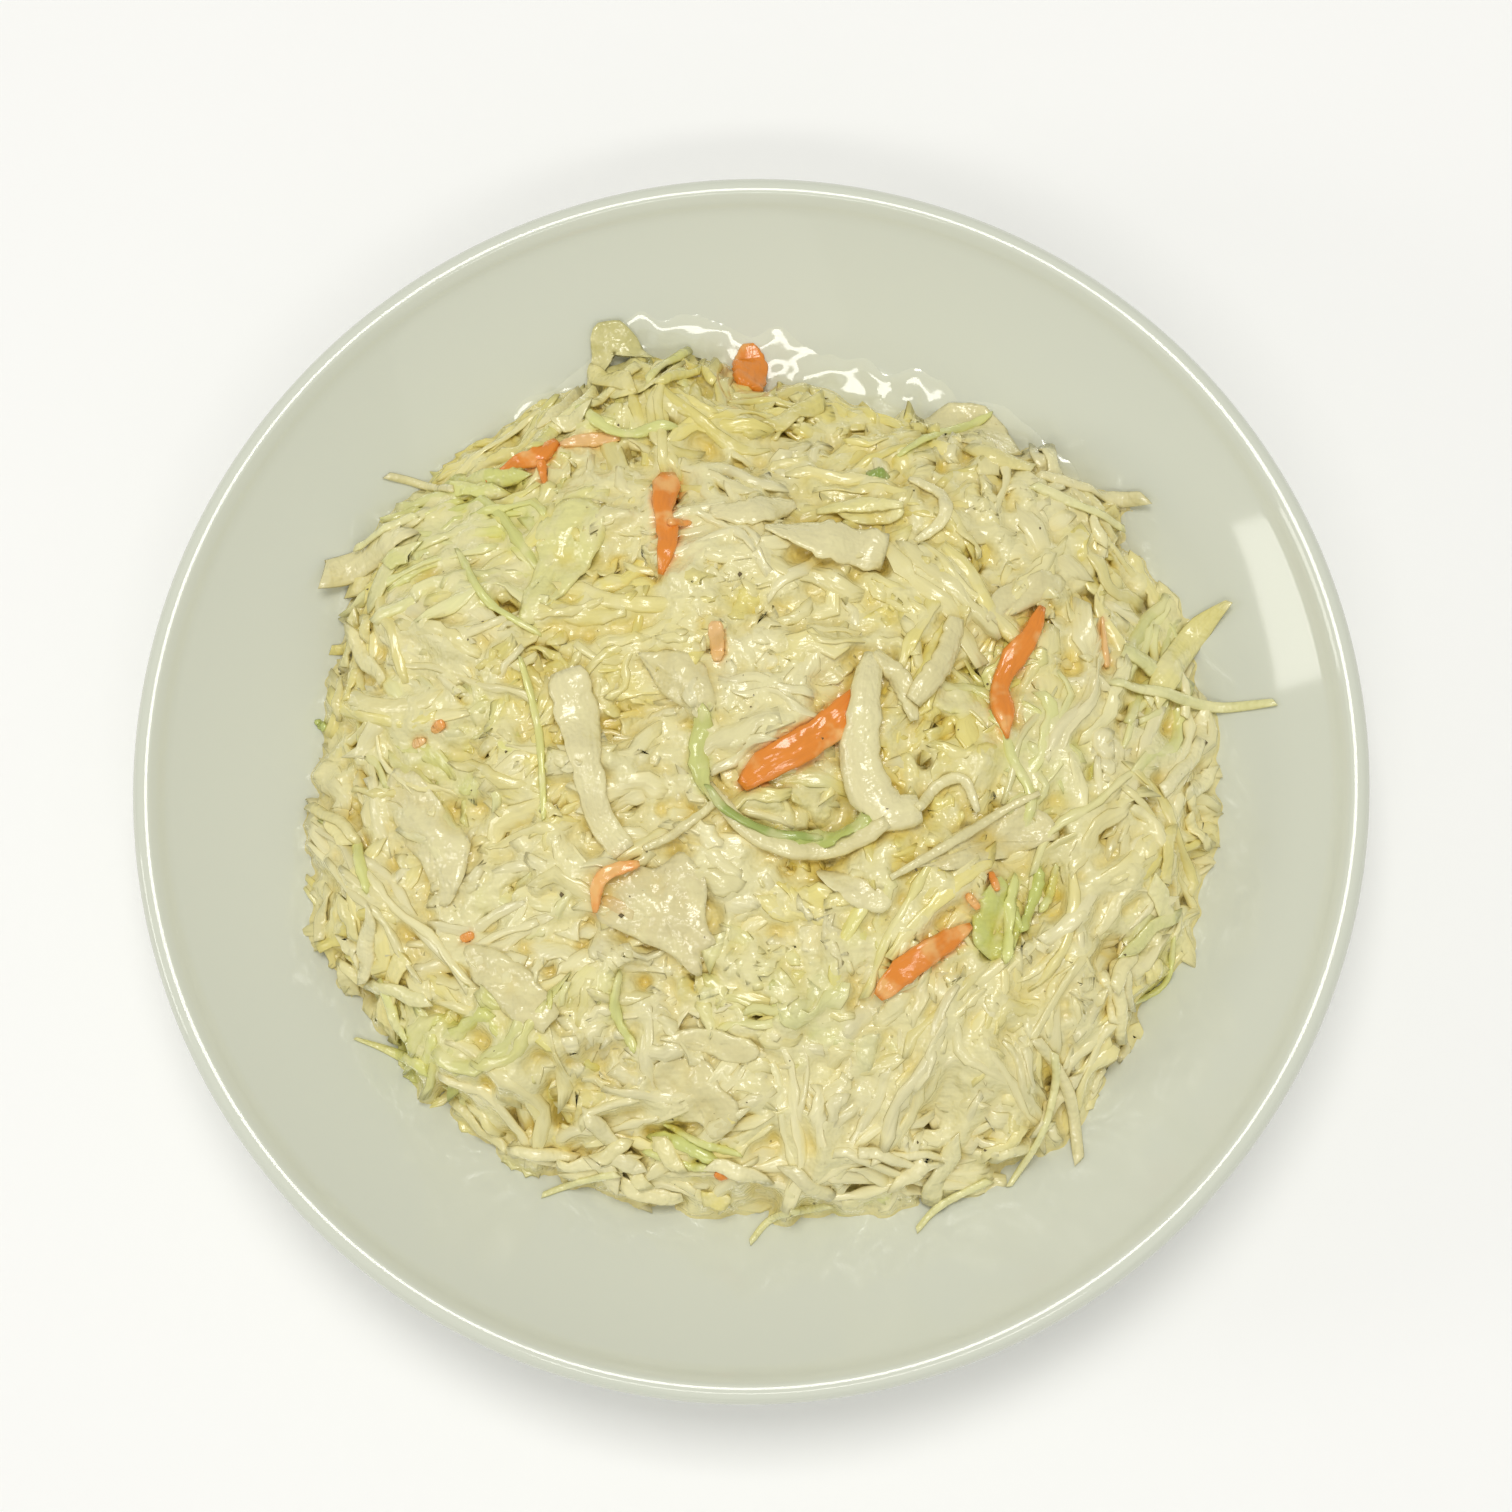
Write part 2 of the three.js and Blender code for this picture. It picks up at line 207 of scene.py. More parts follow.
glaze, glaze_shader = new_material(
    "white_glaze",
    Base_Color=paint(214, 217, 203),
    Roughness=0.07,
    IOR=1.5,
)
nodes, links = glaze.node_tree.nodes, glaze.node_tree.links
glaze_noise = nodes.new("ShaderNodeTexNoise")
glaze_noise.inputs["Scale"].default_value = 40
glaze_noise.inputs["Detail"].default_value = 2
glaze_coordinates = nodes.new("ShaderNodeTexCoord")
links.new(glaze_coordinates.outputs["Object"], glaze_noise.inputs["Vector"])
glaze_bump = nodes.new("ShaderNodeBump")
glaze_bump.inputs["Strength"].default_value = 0.06
glaze_bump.inputs["Distance"].default_value = 0.0006
links.new(glaze_noise.outputs["Fac"], glaze_bump.inputs["Height"])
links.new(glaze_bump.outputs["Normal"], glaze_shader.inputs["Normal"])
new_piece("bowl_glazed", *turned(bowl_profile(), 224), glaze, "bowl", slot="glaze")

# ---- The dressed mass under the shreds -----------------------------------------------------
# Cabbage and thick mayonnaise dressing packed together. Shreds are laid over it one by one
# on a height map, so that each rests on those below it; the dressing then fills up between
# them. This section has the map, the heap's outline and hollows, which way the locks lie in
# each part of it, and the way a strip is laid.
CELL = 0.45
HALF = 99.9
COUNT = int(2 * HALF / CELL) + 1
HEAP_CENTRE = np.array((2.7, 0.3))
HEAP_RADIUS, HEAP_TOP, HEAP_FOOT = 73.0, 46.5, 16.0
OUTLINE_WAVES = ((1, 2.1, -142), (2, 2.4, -21), (3, 0.8, 5), (4, 1.8, 149), (7, 1.0, -41))
OUTLINE_BUMPS = ((105, 2.4, 9), (195, 1.8, 6), (212, -2.0, 7), (248, -2.4, 12))
HOLLOWS = ((-16, -37), (3, -27), (-11, -13), (-58, 4), (-43, 34), (-51, -33), (17, 47))
random = np.random.default_rng(7)
axis = np.linspace(-HALF, HALF, COUNT)
grid_x, grid_y = np.meshgrid(axis, axis, indexing="ij")


def bowl_inside(r):
    run = np.clip(r - FLAT_RADIUS, 0, SIDE_RUN)
    return FLOOR_Z + SIDE_RADIUS - np.sqrt(SIDE_RADIUS**2 - run**2)


def outline(turn):
    reach = HEAP_RADIUS
    for count, size, bulge in OUTLINE_WAVES:
        reach = reach + size * np.cos(count * turn - math.radians(bulge))
    for bearing, size, wide in OUTLINE_BUMPS:
        apart = (np.degrees(turn) - bearing + 180) % 360 - 180
        reach = reach + size * np.exp(-((apart / wide) ** 2))
    return reach


def blurred(field, radius):
    """The field smoothed by a Gaussian of that standard deviation in millimetres."""
    waves = np.fft.fftfreq(COUNT, CELL)
    falloff = np.exp(-2 * (math.pi * radius * waves) ** 2)
    return np.fft.ifft2(np.fft.fft2(field) * np.outer(falloff, falloff)).real


def smooth_noise(wavelength):
    field = blurred(random.standard_normal((COUNT, COUNT)), wavelength / 4)
    return field / field.std()


heap_x, heap_y = grid_x - HEAP_CENTRE[0], grid_y - HEAP_CENTRE[1]
share = np.hypot(heap_x, heap_y) / outline(np.arctan2(heap_y, heap_x))
glaze_height = bowl_inside(np.hypot(grid_x, grid_y))
dome = (1 - np.minimum(share, 1) ** 2.4) ** 0.72
relief = 1.2 * smooth_noise(26) + 1.1 * smooth_noise(10) + 0.6 * smooth_noise(6)
relief = relief - 3.4 * np.clip(smooth_noise(8) - 0.9, 0, 1.2)
for x, y in HOLLOWS:
    relief = relief - 3.5 * np.exp(-((grid_x - x) ** 2 + (grid_y - y) ** 2) / 6)
wanted = HEAP_FOOT + (HEAP_TOP - HEAP_FOOT) * dome + relief * np.minimum(1, 3 * dome)
wanted = np.where(share < 1, np.maximum(wanted, glaze_height + 1.6), 0)
height = np.where(share < 0.97, np.maximum(wanted - 5.5, glaze_height + 0.2), glaze_height)
shade = np.zeros((COUNT, COUNT, 3)) + paint(226, 213, 146)[:3]
flow = smooth_noise(34)
tone = 0.9 * smooth_noise(40) + 0.8 * smooth_noise(16) - grid_x / 90 + grid_y / 90
greenish = 0.8 * smooth_noise(32) + 0.7 * smooth_noise(14)


def raise_to(places, tops, colour):
    """Raises the map to a new piece's top, and keeps the piece's colour where it shows."""
    i, j = cells(places)
    np.maximum.at(height, (i, j), tops)
    shown = tops >= height[i, j] - 0.02
    shade[i[shown], j[shown]] = colour[:3]


def cells(points):
    return tuple(np.clip(np.rint((points + HALF) / CELL).astype(int), 0, COUNT - 1).T)


def arc(middle, heading, bend, length, wiggle, count, kink=0.0):
    """Plan points of a strip: an arc about its middle with a slight wave and a kink in it."""
    t = np.linspace(-0.5, 0.5, count)
    turn = heading + bend * t + wiggle * np.sin(2 * math.pi * (t * 1.7 + middle[0] * 0.37))
    turn = turn + kink * (t > 0.4 * math.sin(9 * middle[1]))
    step = np.stack((np.cos(turn), np.sin(turn)), axis=1) * (length / (count - 1))
    points = np.cumsum(step, axis=0)
    return points - points[count // 2] + middle


def through(corners, count):
    """Evenly spaced plan points on a smooth curve through the corners."""
    corners = np.asarray(corners, float)
    if len(corners) == 2:
        corners = np.array((corners[0], corners.mean(axis=0), corners[1]))
    ends = np.vstack((2 * corners[0] - corners[1], corners, 2 * corners[-1] - corners[-2]))
    t = np.linspace(0, 1, 12, endpoint=False)[:, None]
    pieces = []
    for a, b, c, d in zip(ends, ends[1:], ends[2:], ends[3:]):
        square = (2 * a - 5 * b + 4 * c - d) * t**2
        cube = (3 * b - a - 3 * c + d) * t**3
        pieces.append(0.5 * (2 * b + (c - a) * t + square + cube))
    curve = np.vstack((*pieces, corners[-1:]))
    travelled = np.concatenate(([0], np.cumsum(np.linalg.norm(np.diff(curve, axis=0), axis=1))))
    even = np.linspace(0, travelled[-1], count)
    return np.stack([np.interp(even, travelled, curve[:, k]) for k in (0, 1)], axis=1)


class Batch:
    """The strips of one kind in one mesh, with each strip's colour and painted shade, darker and yellower
    where it lies low.
    """

    def __init__(self):
        self.verts, self.faces, self.colours, self.grain = [], [], [], []
        self.count = 0

    def add(self, verts, faces, colour, grain):
        self.faces += [tuple(i + self.count for i in face) for face in faces]
        self.verts.append(verts)
        self.colours.append(np.broadcast_to(colour, (len(verts), 4)))
        self.grain.append(grain)
        self.count += len(verts)

    def piece(self, name, material, *nodes):
        verts = np.vstack(self.verts)
        at = cells(verts[:, :2])
        # Painted shade: vertices lying below the heap's filled surface are coloured darker and yellower,
        # less so near the heap's edge.
        painted_shade = np.clip((envelope[at] - verts[:, 2] - 0.3) / 2, 0, 1)
        painted_shade = (painted_shade * np.clip((1.03 - share[at]) / 0.12, 0.25, 1))[:, None]
        colours = np.vstack(self.colours) * (1 - painted_shade + painted_shade * HOLLOW_SHADE)
        made = new_piece(name, verts, self.faces, material, *nodes)
        hue = made.data.color_attributes.new("hue", "FLOAT_COLOR", "POINT")
        hue.data.foreach_set("color", colours.astype(np.float32).ravel())
        grain = made.data.attributes.new("grain", "FLOAT_VECTOR", "POINT")
        grain.data.foreach_set("vector", np.vstack(self.grain).astype(np.float32).ravel())
        return made


SLICED = np.array(
    ((1, -0.1), (0.93, 0.45), (0.7, 0.85), (0, 1.1), (-0.7, 0.85), (-0.93, 0.45), (-1, -0.1), (0, -1))
)
# Painted shade: this colour factor darkens and yellows the strips and the dressing where they lie low in the
# heap, and on the strips' flanks and undersides.
HOLLOW_SHADE = np.array((0.96, 0.83, 0.44, 1))


def lay(
    batch, plan, width, thick, colour, ring=8, stiff=4, lift=0.0, ends=(0.0, 0.0), twist=0.0,
    tips=(0.5, 0.5), ragged=0.0, cup=0.0, square=0.75, profile=(1, 1), sink=0.25, cut=None,
):
    """Lays one strip along plan points on what lies there already, and raises the map by it."""
    count = len(plan)
    t = np.linspace(0, 1, count)
    ahead = np.gradient(plan, axis=0)
    ahead /= np.linalg.norm(ahead, axis=1)[:, None] + 1e-9
    across = np.stack((-ahead[:, 1], ahead[:, 0]), axis=1)
    reach = 0.35 * width
    centre, left, other = (height[cells(plan + across * s)] for s in (0, reach, -reach))
    rest = np.maximum(centre, (left + other + np.maximum(left, other)) / 3)
    z = rest.copy()
    for _ in range(stiff):
        padded = np.concatenate((z[:1], z, z[-1:]))
        z = np.maximum(rest, 0.25 * (padded[:-2] + 2 * z + padded[2:]))
    z = z - sink * thick + lift
    z += ends[0] * np.clip(1 - 2.2 * t, 0, 1) ** 2 + ends[1] * np.clip(2.2 * t - 1.2, 0, 1) ** 2
    lean = np.clip((left - other) / (2 * reach + 0.6), -0.7, 0.7)
    lean = np.arctan(np.convolve(np.pad(lean, 2, "edge"), np.ones(5) / 5, "valid"))
    roll = lean + twist * np.sin(2 * math.pi * (t + plan[0, 0] * 0.13))
    taper = 1 - (1 - tips[0]) * np.exp(-t * count / 1.4) - (1 - tips[1]) * np.exp(-(1 - t) * count / 1.4)
    taper = taper * np.interp(t, np.linspace(0, 1, len(profile)), profile)
    taper = taper * (1 + ragged * np.sin(t * count * 1.9 + plan[0, 1]) * np.sin(t * 7 + plan[0, 0]))
    w, h = width * taper, thick * (0.4 + 0.6 * taper)
    line = np.column_stack((plan, z + h / 2))
    forward = np.gradient(line, axis=0)
    forward /= np.linalg.norm(forward, axis=1)[:, None]
    level = np.column_stack((across, np.zeros(count)))
    normal = np.cross(forward, level)
    normal /= np.linalg.norm(normal, axis=1)[:, None]
    level = np.cross(normal, forward)
    side = level * np.cos(roll)[:, None] + normal * np.sin(roll)[:, None]
    face = normal * np.cos(roll)[:, None] - level * np.sin(roll)[:, None]
    if cut is None:
        turn = 2 * math.pi * (np.arange(ring) + 0.5) / ring
        out = np.sign(np.cos(turn)) * np.abs(np.cos(turn)) ** square
        rise = np.sign(np.sin(turn)) * np.abs(np.sin(turn)) ** square
        skew = np.zeros(count)
    else:
        ring = len(SLICED)
        out, rise = SLICED.T
        skew = cut[0] * np.exp(-2 * t * count) + cut[1] * np.exp(-2 * (1 - t) * count)
    curl = cup * w[:, None] * (out**2 - 0.5)
    verts = (
        line[:, None]
        + side[:, None] * (w[:, None] * out / 2)[:, :, None]
        + face[:, None] * (h[:, None] * rise / 2 + curl)[:, :, None]
        + forward[:, None] * ((skew * w)[:, None] * out)[:, :, None]
    ).reshape(-1, 3)
    faces = [tuple(range(ring - 1, -1, -1)), tuple((count - 1) * ring + k for k in range(ring))]
    for i in range(count - 1):
        row = i * ring
        for k in range(ring):
            following = (k + 1) % ring
            faces.append((row + k, row + following, row + ring + following, row + ring + k))
    length = np.linalg.norm(np.diff(line, axis=0), axis=1).sum()
    if batch:
        grain = np.empty((count, ring, 3))
        grain[:, :, 0] = (t * length)[:, None] + 10 * plan[0, 0]
        grain[:, :, 1] = width * out / 2 + 3 * plan[0, 1]
        grain[:, :, 2] = t[:, None]
        # Painted shade: the flanks and underside of each strip are coloured darker and yellower.
        under = 0.28 * np.tile(np.clip(0.8 - rise, 0, 1), count)[:, None]
        batch.add(verts, faces, colour * (1 - under + under * HOLLOW_SHADE), grain.reshape(-1, 3))
    fine = max(2, int(length / 0.4))
    s = np.linspace(0, count - 1, fine)
    over = np.stack([np.interp(s, np.arange(count), line[:, k]) for k in range(3)], axis=1)
    sides = np.stack([np.interp(s, np.arange(count), side[:, k]) for k in range(3)], axis=1)
    widths, heights = (np.interp(s, np.arange(count), v) for v in (w, h))
    offsets = np.linspace(-0.5, 0.5, max(3, int(width / 0.4)))
    top = over[:, None] + sides[:, None] * (widths[:, None] * offsets)[:, :, None]
    tops = top[:, :, 2] + heights[:, None] / 2 * (1 - (2 * offsets) ** 4)
    raise_to(top[:, :, :2].reshape(-1, 2), tops.ravel(), colour)


def hungry_place(tries, near=0.0, far=0.97):
    """Of some random places on the heap, the one whose surface lies furthest under its form."""
    turn = random.uniform(0, 2 * math.pi, tries)
    out = np.sqrt(random.uniform(near**2, far**2, tries))
    places = HEAP_CENTRE + (out * outline(turn) * np.stack((np.cos(turn), np.sin(turn)))).T
    short = (wanted - height)[cells(places)]
    return places[np.argmax(short)]


def kept_in(plan, allowance):
    """The plan points moved towards the heap's centre until none sticks out further than that."""
    away = plan - HEAP_CENTRE
    far = np.linalg.norm(away, axis=1) - outline(np.arctan2(away[:, 1], away[:, 0]))
    worst = np.argmax(far)
    if far[worst] <= allowance:
        return plan
    inward = -away[worst] / np.linalg.norm(away[worst])
    return plan + inward * (far[worst] - allowance)


LIE = np.array(
    (
        (-46, 58, 25), (-8, 54, 100), (7, 62, 5), (34, 61, -10), (44, 46, -35), (61, 38, -45),
        (-46, 37, 40), (-60, 17, -60), (-45, 17, -30), (-60, -3, -60), (-10, 26, 20), (5, 26, -20),
        (14, 0, 35), (-11, -11, 20), (6, -12, 0), (32, 5, 70), (44, -10, 35), (65, -4, 65),
        (74, -8, 78), (56, -23, 55), (37, -42, 55), (27, -42, 60), (11, -42, 20), (1, -37, 0),
        (-9, -33, -40), (-31, -26, 20), (-26, -42, 45), (-43, -50, -38), (-53, -46, -42), (-27, -57, -35),
        (-10, -57, -10), (27, -63, 12), (48, -52, 50),
    )
)


def laid_round(place):
    """The heading of shreds at a place: mostly as the locks near it lie, and a little by chance."""
    weight = np.exp(-((LIE[:, :2] - place) ** 2).sum(axis=1) / 200) + 1e-9
    double = np.radians(2 * LIE[:, 2])
    lie = 0.5 * math.atan2((weight * np.sin(double)).sum(), (weight * np.cos(double)).sum())
    return lie + 0.2 * flow[cells(place)]


# ---- Shreds of white and yellow cabbage ----------------------------------------------------
# A cabbage head sliced across and pulled apart into strips 1.3 to 5 mm wide, in small bundles
# that still lie alongside each other, with short broken bits among them. All are slick with
# dressing.
fine_shreds, wide_shreds, short_bits = Batch(), Batch(), Batch()
CREAM, YELLOW_LEAF, GREEN_LEAF = (
    np.array(paint(*colour)) for colour in ((235, 227, 179), (229, 216, 132), (212, 216, 130))
)


def cabbage_colour(place):
    """Paler or yellower and here and there greener by place, and a little by chance."""
    at = cells(place)
    yellow = np.clip(0.45 + 0.3 * tone[at] + random.normal(0, 0.26), 0, 1)
    green = np.clip(0.6 * greenish[at] - 0.5 + random.normal(0, 0.15), 0, 1)
    shade = (CREAM * (1 - yellow) + YELLOW_LEAF * yellow) * (1 - green) + GREEN_LEAF * green
    shade[:3] *= random.uniform(0.9, 1.05)
    return shade


def bundle(
    batch, size, width, thick, length, points, spread=2.6, blunt=0.3, stiff=4, near=0.0, order=0.4
):
    """A lock of strips side by side at a place that still lacks height."""
    place = hungry_place(14, near)
    heading = laid_round(place) + random.uniform(-order, order)
    if random.random() < 0.15:
        heading += random.uniform(0.6, 1.6)
    bend = random.uniform(-1.1, 1.3)
    wave = random.uniform(0.0, 0.4)
    kink = random.normal(0, 0.5)
    ahead = np.array((math.cos(heading), math.sin(heading)))
    aside = np.array((-ahead[1], ahead[0]))
    for _ in range(size):
        slip, gap = random.normal(0, (3.5, spread))
        plan = arc(
            place + slip * ahead,
            heading + random.normal(0, 0.035 * spread),
            bend + random.normal(0, 0.1 * spread),
            random.uniform(*length),
            wave,
            points,
            kink,
        )
        loose = 1.0 + (random.uniform(0, 4) if random.random() < 0.1 else 0)
        lay(
            batch,
            kept_in(plan + gap * aside, loose),
            random.uniform(*width),
            random.uniform(*thick),
            cabbage_colour(place),
            stiff=stiff,
            twist=random.uniform(0.1, 1.0),
            tips=random.uniform(0.8 * blunt, 1.0, 2),
            ragged=random.uniform(0.1, 0.45),
            cup=random.uniform(-0.24, 0.06),
            sink=0.35,
            cut=random.uniform(-0.6, 0.6, 2),
        )


for turn_number in range(290):
    bundle(wide_shreds, 3, (2.2, 4.8), (0.6, 1.0), (6, 20), 9, spread=2.5, blunt=0.6)
    bundle(fine_shreds, 2, (1.3, 2.6), (0.5, 0.9), (8, 26), 11, spread=1.6)
    bundle(short_bits, 5, (1.5, 4.6), (0.6, 1.2), (2.5, 8), 5, blunt=0.6, stiff=1, order=1.5)

# ---- Leaf flakes ---------------------------------------------------------------------------
# Thin torn pieces of leaf blade, wavy and a little see-through, which the slicer left wider
# than the shreds.
flakes = Batch()


def lay_leaf(corners, colour, thick=0.6, wave=0.6, lift=0.1, tilt=(0.0, 0.0), rings=5, step=1.1):
    """A wavy leaf flake with its torn edge through the corners, laid on what lies there."""
    corners = np.asarray(corners, float)
    edge = []
    for start, stop in zip(corners, np.roll(corners, -1, axis=0)):
        parts = max(1, int(np.linalg.norm(stop - start) / step))
        edge += [start + (stop - start) * k / parts for k in range(parts)]
    edge = np.array(edge) + random.normal(0, 0.3, (len(edge), 2))
    edge = 0.5 * edge + 0.25 * (np.roll(edge, 1, axis=0) + np.roll(edge, -1, axis=0))
    area = np.cross(edge, np.roll(edge, -1, axis=0)).sum()
    if area < 0:
        edge = edge[::-1]
    centre = corners.mean(axis=0)
    shares = 1 - np.linspace(0, 1, rings + 1)[:-1] ** 1.4
    points = np.vstack([centre + (edge - centre) * s for s in shares] + [centre[None]])
    out = np.append(np.repeat(shares, len(edge)), 0)
    phase = random.uniform(0, 6.3, 4)
    x, y = (points - centre).T
    ripple = np.sin(0.75 * x + 0.3 * y + phase[0]) * np.sin(0.65 * y - 0.25 * x + phase[1])
    ripple += 0.5 * np.sin(1.9 * x + phase[2]) * np.sin(1.7 * y + phase[3]) * out**2
    z = blurred_height[cells(points)] + lift + wave * ripple + tilt[0] * x + tilt[1] * y
    lower, upper = np.column_stack((points, z)), np.column_stack((points, z))
    upper[:, 2] += thick * (1 - 0.7 * out**8)
    total, count = len(points), len(edge)
    faces = []
    for k in range(count):
        following = (k + 1) % count
        for row in range(0, (rings - 1) * count, count):
            quad = (row + k, row + following, row + count + following, row + count + k)
            faces.append(tuple(total + i for i in quad))
            faces.append(quad[::-1])
        row = (rings - 1) * count
        faces.append((total + row + k, total + row + following, 2 * total - 1))
        faces.append((row + following, row + k, total - 1))
        faces.append((k, following, total + following, total + k))
    verts = np.vstack((lower, upper))
    shifted = verts[:, :2] + 7 * phase[:2]
    grain = np.column_stack((shifted, np.full(2 * total, 0.5)))
    flakes.add(verts, faces, colour, grain)
    for s in np.linspace(0, 1, 24):
        ring = centre + (edge - centre) * s
        dense = np.vstack([ring * (1 - u) + np.roll(ring, -1, axis=0) * u for u in (0, 0.33, 0.67)])
        row = np.interp(s, shares[::-1], np.arange(rings)[::-1])
        tops = upper[: rings * count, 2].reshape(rings, count)
        low = min(int(row), rings - 1)
        high = min(low + 1, rings - 1)
        level = tops[low] * (1 - row + low) + tops[high] * (row - low)
        raise_to(dense, np.tile(level, 3), colour)


blurred_height = blurred(height, 1.6)
for number in range(460):
    place = hungry_place(10, 0, 0.76 if number % 3 else 0.94)
    heading = laid_round(place) + random.uniform(-0.9, 0.9)
    turn = np.linspace(0, 2 * math.pi, 8)[:-1] + random.uniform(-0.35, 0.35, 7)
    reach = random.uniform(0.5, 1.1, 7)
    along = reach * np.cos(turn) * random.uniform(2.2, 5.6)
    across = reach * np.sin(turn) * random.uniform(1.6, 3.6)
    c, s = math.cos(heading), math.sin(heading)
    lay_leaf(
        place + np.column_stack((along * c - across * s, along * s + across * c)),
        cabbage_colour(place),
        wave=random.uniform(0.4, 1.3),
        lift=random.uniform(-0.3, 0.4),
        tilt=random.normal(0, 0.26, 2),
        rings=3,
    )
for turn_number in range(60):
    bundle(wide_shreds, 2, (2.2, 4.6), (0.6, 1.0), (6, 18), 9, blunt=0.6)
    bundle(fine_shreds, 2, (1.3, 2.4), (0.5, 0.8), (8, 22), 11, spread=1.6)
    bundle(short_bits, 4, (1.5, 4.4), (0.6, 1.1), (2.5, 8), 5, blunt=0.6, stiff=1, order=1.5)
for turn_number in range(50):
    bundle(
        fine_shreds, 4, (1.4, 3.0), (0.6, 0.9), (12, 30), 13, spread=1.8,
        near=0.75 if turn_number % 2 else 0.4, order=0.3,
    )

# ---- Named leaf flakes ----------------------------------------------------------------------
# The largest flakes, which lie on top of the heap, and one that stands up at its back.
bare_height = height.copy()
blurred_height = blurred(height, 1.6)
WHITE, CLEAR, YELLOW = paint(229, 220, 170), paint(224, 214, 161), paint(229, 220, 150)
for corners, colour, wave, lift, tilt in (
    (
        ((-15.5, -16.5), (-12, -17), (-9.5, -14), (-7.5, -15.5), (-5, -19.5), (-5.5, -24.5), (-3.5, -29),
         (-6.5, -30), (-6, -33.5), (-7, -34.5), (-9.5, -31), (-14, -29), (-19, -26.5), (-22, -26),
         (-23, -22.5), (-22, -19.5), (-19, -17.5)),
        paint(222, 211, 160), 0.7, 0.8, (0.05, 0),
    ),
    (
        ((-22.5, -22), (-19, -20.5), (-16, -22.5), (-16.5, -26), (-20, -26)),
        paint(219, 196, 140), 0.3, 0.3, (0.05, 0),
    ),
    (
        ((-57, 1.5), (-52, -0.5), (-49, -5), (-47, -8.5), (-44, -10.5), (-43, -12), (-44, -15.5),
         (-44.5, -18.5), (-46.5, -22), (-49, -22), (-51, -19), (-52, -14.5), (-55.5, -11),
         (-57.5, -6), (-58.5, -1)),
        WHITE, 0.9, 0.5, (0.06, 0),
    ),
    (
        ((-14.5, -47), (-10, -46), (-5, -47), (-3.5, -50.5), (-0.5, -53), (-0.5, -55.5), (-2.5, -58.5),
         (-5, -59.5), (-7, -56), (-10, -56.5), (-12, -55.5), (-12.5, -52.5), (-14.5, -49.5)),
        CLEAR, 0.6, 0.5, (0.05, 0),
    ),
    (
        ((-13.5, -43.5), (-8, -41.5), (-2, -42.5), (3, -45), (1, -47.5), (-4.5, -46), (-9.5, -45)),
        CLEAR, 0.4, 0.5, (0, 0),
    ),
    (((14.5, 42), (19, 43.5), (24.5, 43.5), (27, 41), (23, 39), (17.5, 39.5)), YELLOW, 0.4, 0.6, (0, 0)),
    (
        ((-29.5, 44.5), (-24.5, 44.5), (-22, 42), (-22, 36.5), (-25, 31.5), (-29, 26.5),
         (-33, 22), (-35.5, 23),
         (-35, 28.5), (-32.5, 34), (-34.5, 37.5), (-32, 41.5)),
        paint(225, 220, 150), 0.8, 0.5, (0, 0),
    ),
    (
        ((11.5, -17), (17, -18), (22, -20), (24.5, -22), (22, -24.5), (17, -23), (13.5, -20)),
        WHITE, 0.6, 0.5, (0, -0.08),
    ),
    (
        ((-16, 17.5), (-9.5, 17), (-5.5, 15), (-4.5, 11), (-3.5, 7.5), (-7.5, 7.5), (-11.5, 9.5), (-14, 13)),
        CLEAR, 0.8, 0.8, (0, 0),
    ),
    (
        ((29, 61.5), (34, 65.5), (40, 64.5), (44, 59.5), (46.5, 55), (42, 53.5), (35.5, 55.5), (30.5, 57.5)),
        WHITE, 0.6, 0.5, (0, 0),
    ),
    (
        ((-24.5, 71), (-20, 73), (-15, 70.5), (-13, 65.5), (-17.5, 63.5), (-22.5, 63.5)),
        YELLOW, 1.0, 1.0, (0, 0),
    ),
    (
        ((-25.5, 78.5), (-21.5, 79), (-18.5, 75.5), (-15, 72), (-18.5, 73.2), (-22, 74.5), (-24.5, 72),
         (-26, 67.5), (-27.5, 65.5), (-26.5, 74.5)),
        paint(206, 199, 136), 0.5, 1.5, (0, 0),
    ),
    (
        ((41, -17.5), (43, -20), (44, -26.5), (42.5, -31), (39, -31.5), (36.5, -29), (36, -24),
         (38.5, -19.5)),
        paint(207, 211, 122), 1.3, 0.8, (0, 0),
    ),
    (
        ((25, -17.5), (33.5, -11.6), (43.4, -6.4), (48, -7.9), (50.9, -11.8), (43.3, -14.6), (33.4, -17.3)),
        CLEAR, 0.7, 0.3, (0, 0),
    ),
    (((39, 22), (44, 24.5), (50, 27), (53, 31), (49, 32.5), (43, 30), (39.5, 26)), CLEAR, 0.6, 0.3, (0, 0)),
    (
        ((-45, -28), (-39, -29), (-33, -33), (-28, -39), (-31, -43), (-37, -39.5), (-43, -33)),
        CLEAR, 0.8, 0.5, (0, 0),
    ),
):
    lay_leaf(corners, colour, wave=wave, lift=lift, tilt=tilt)

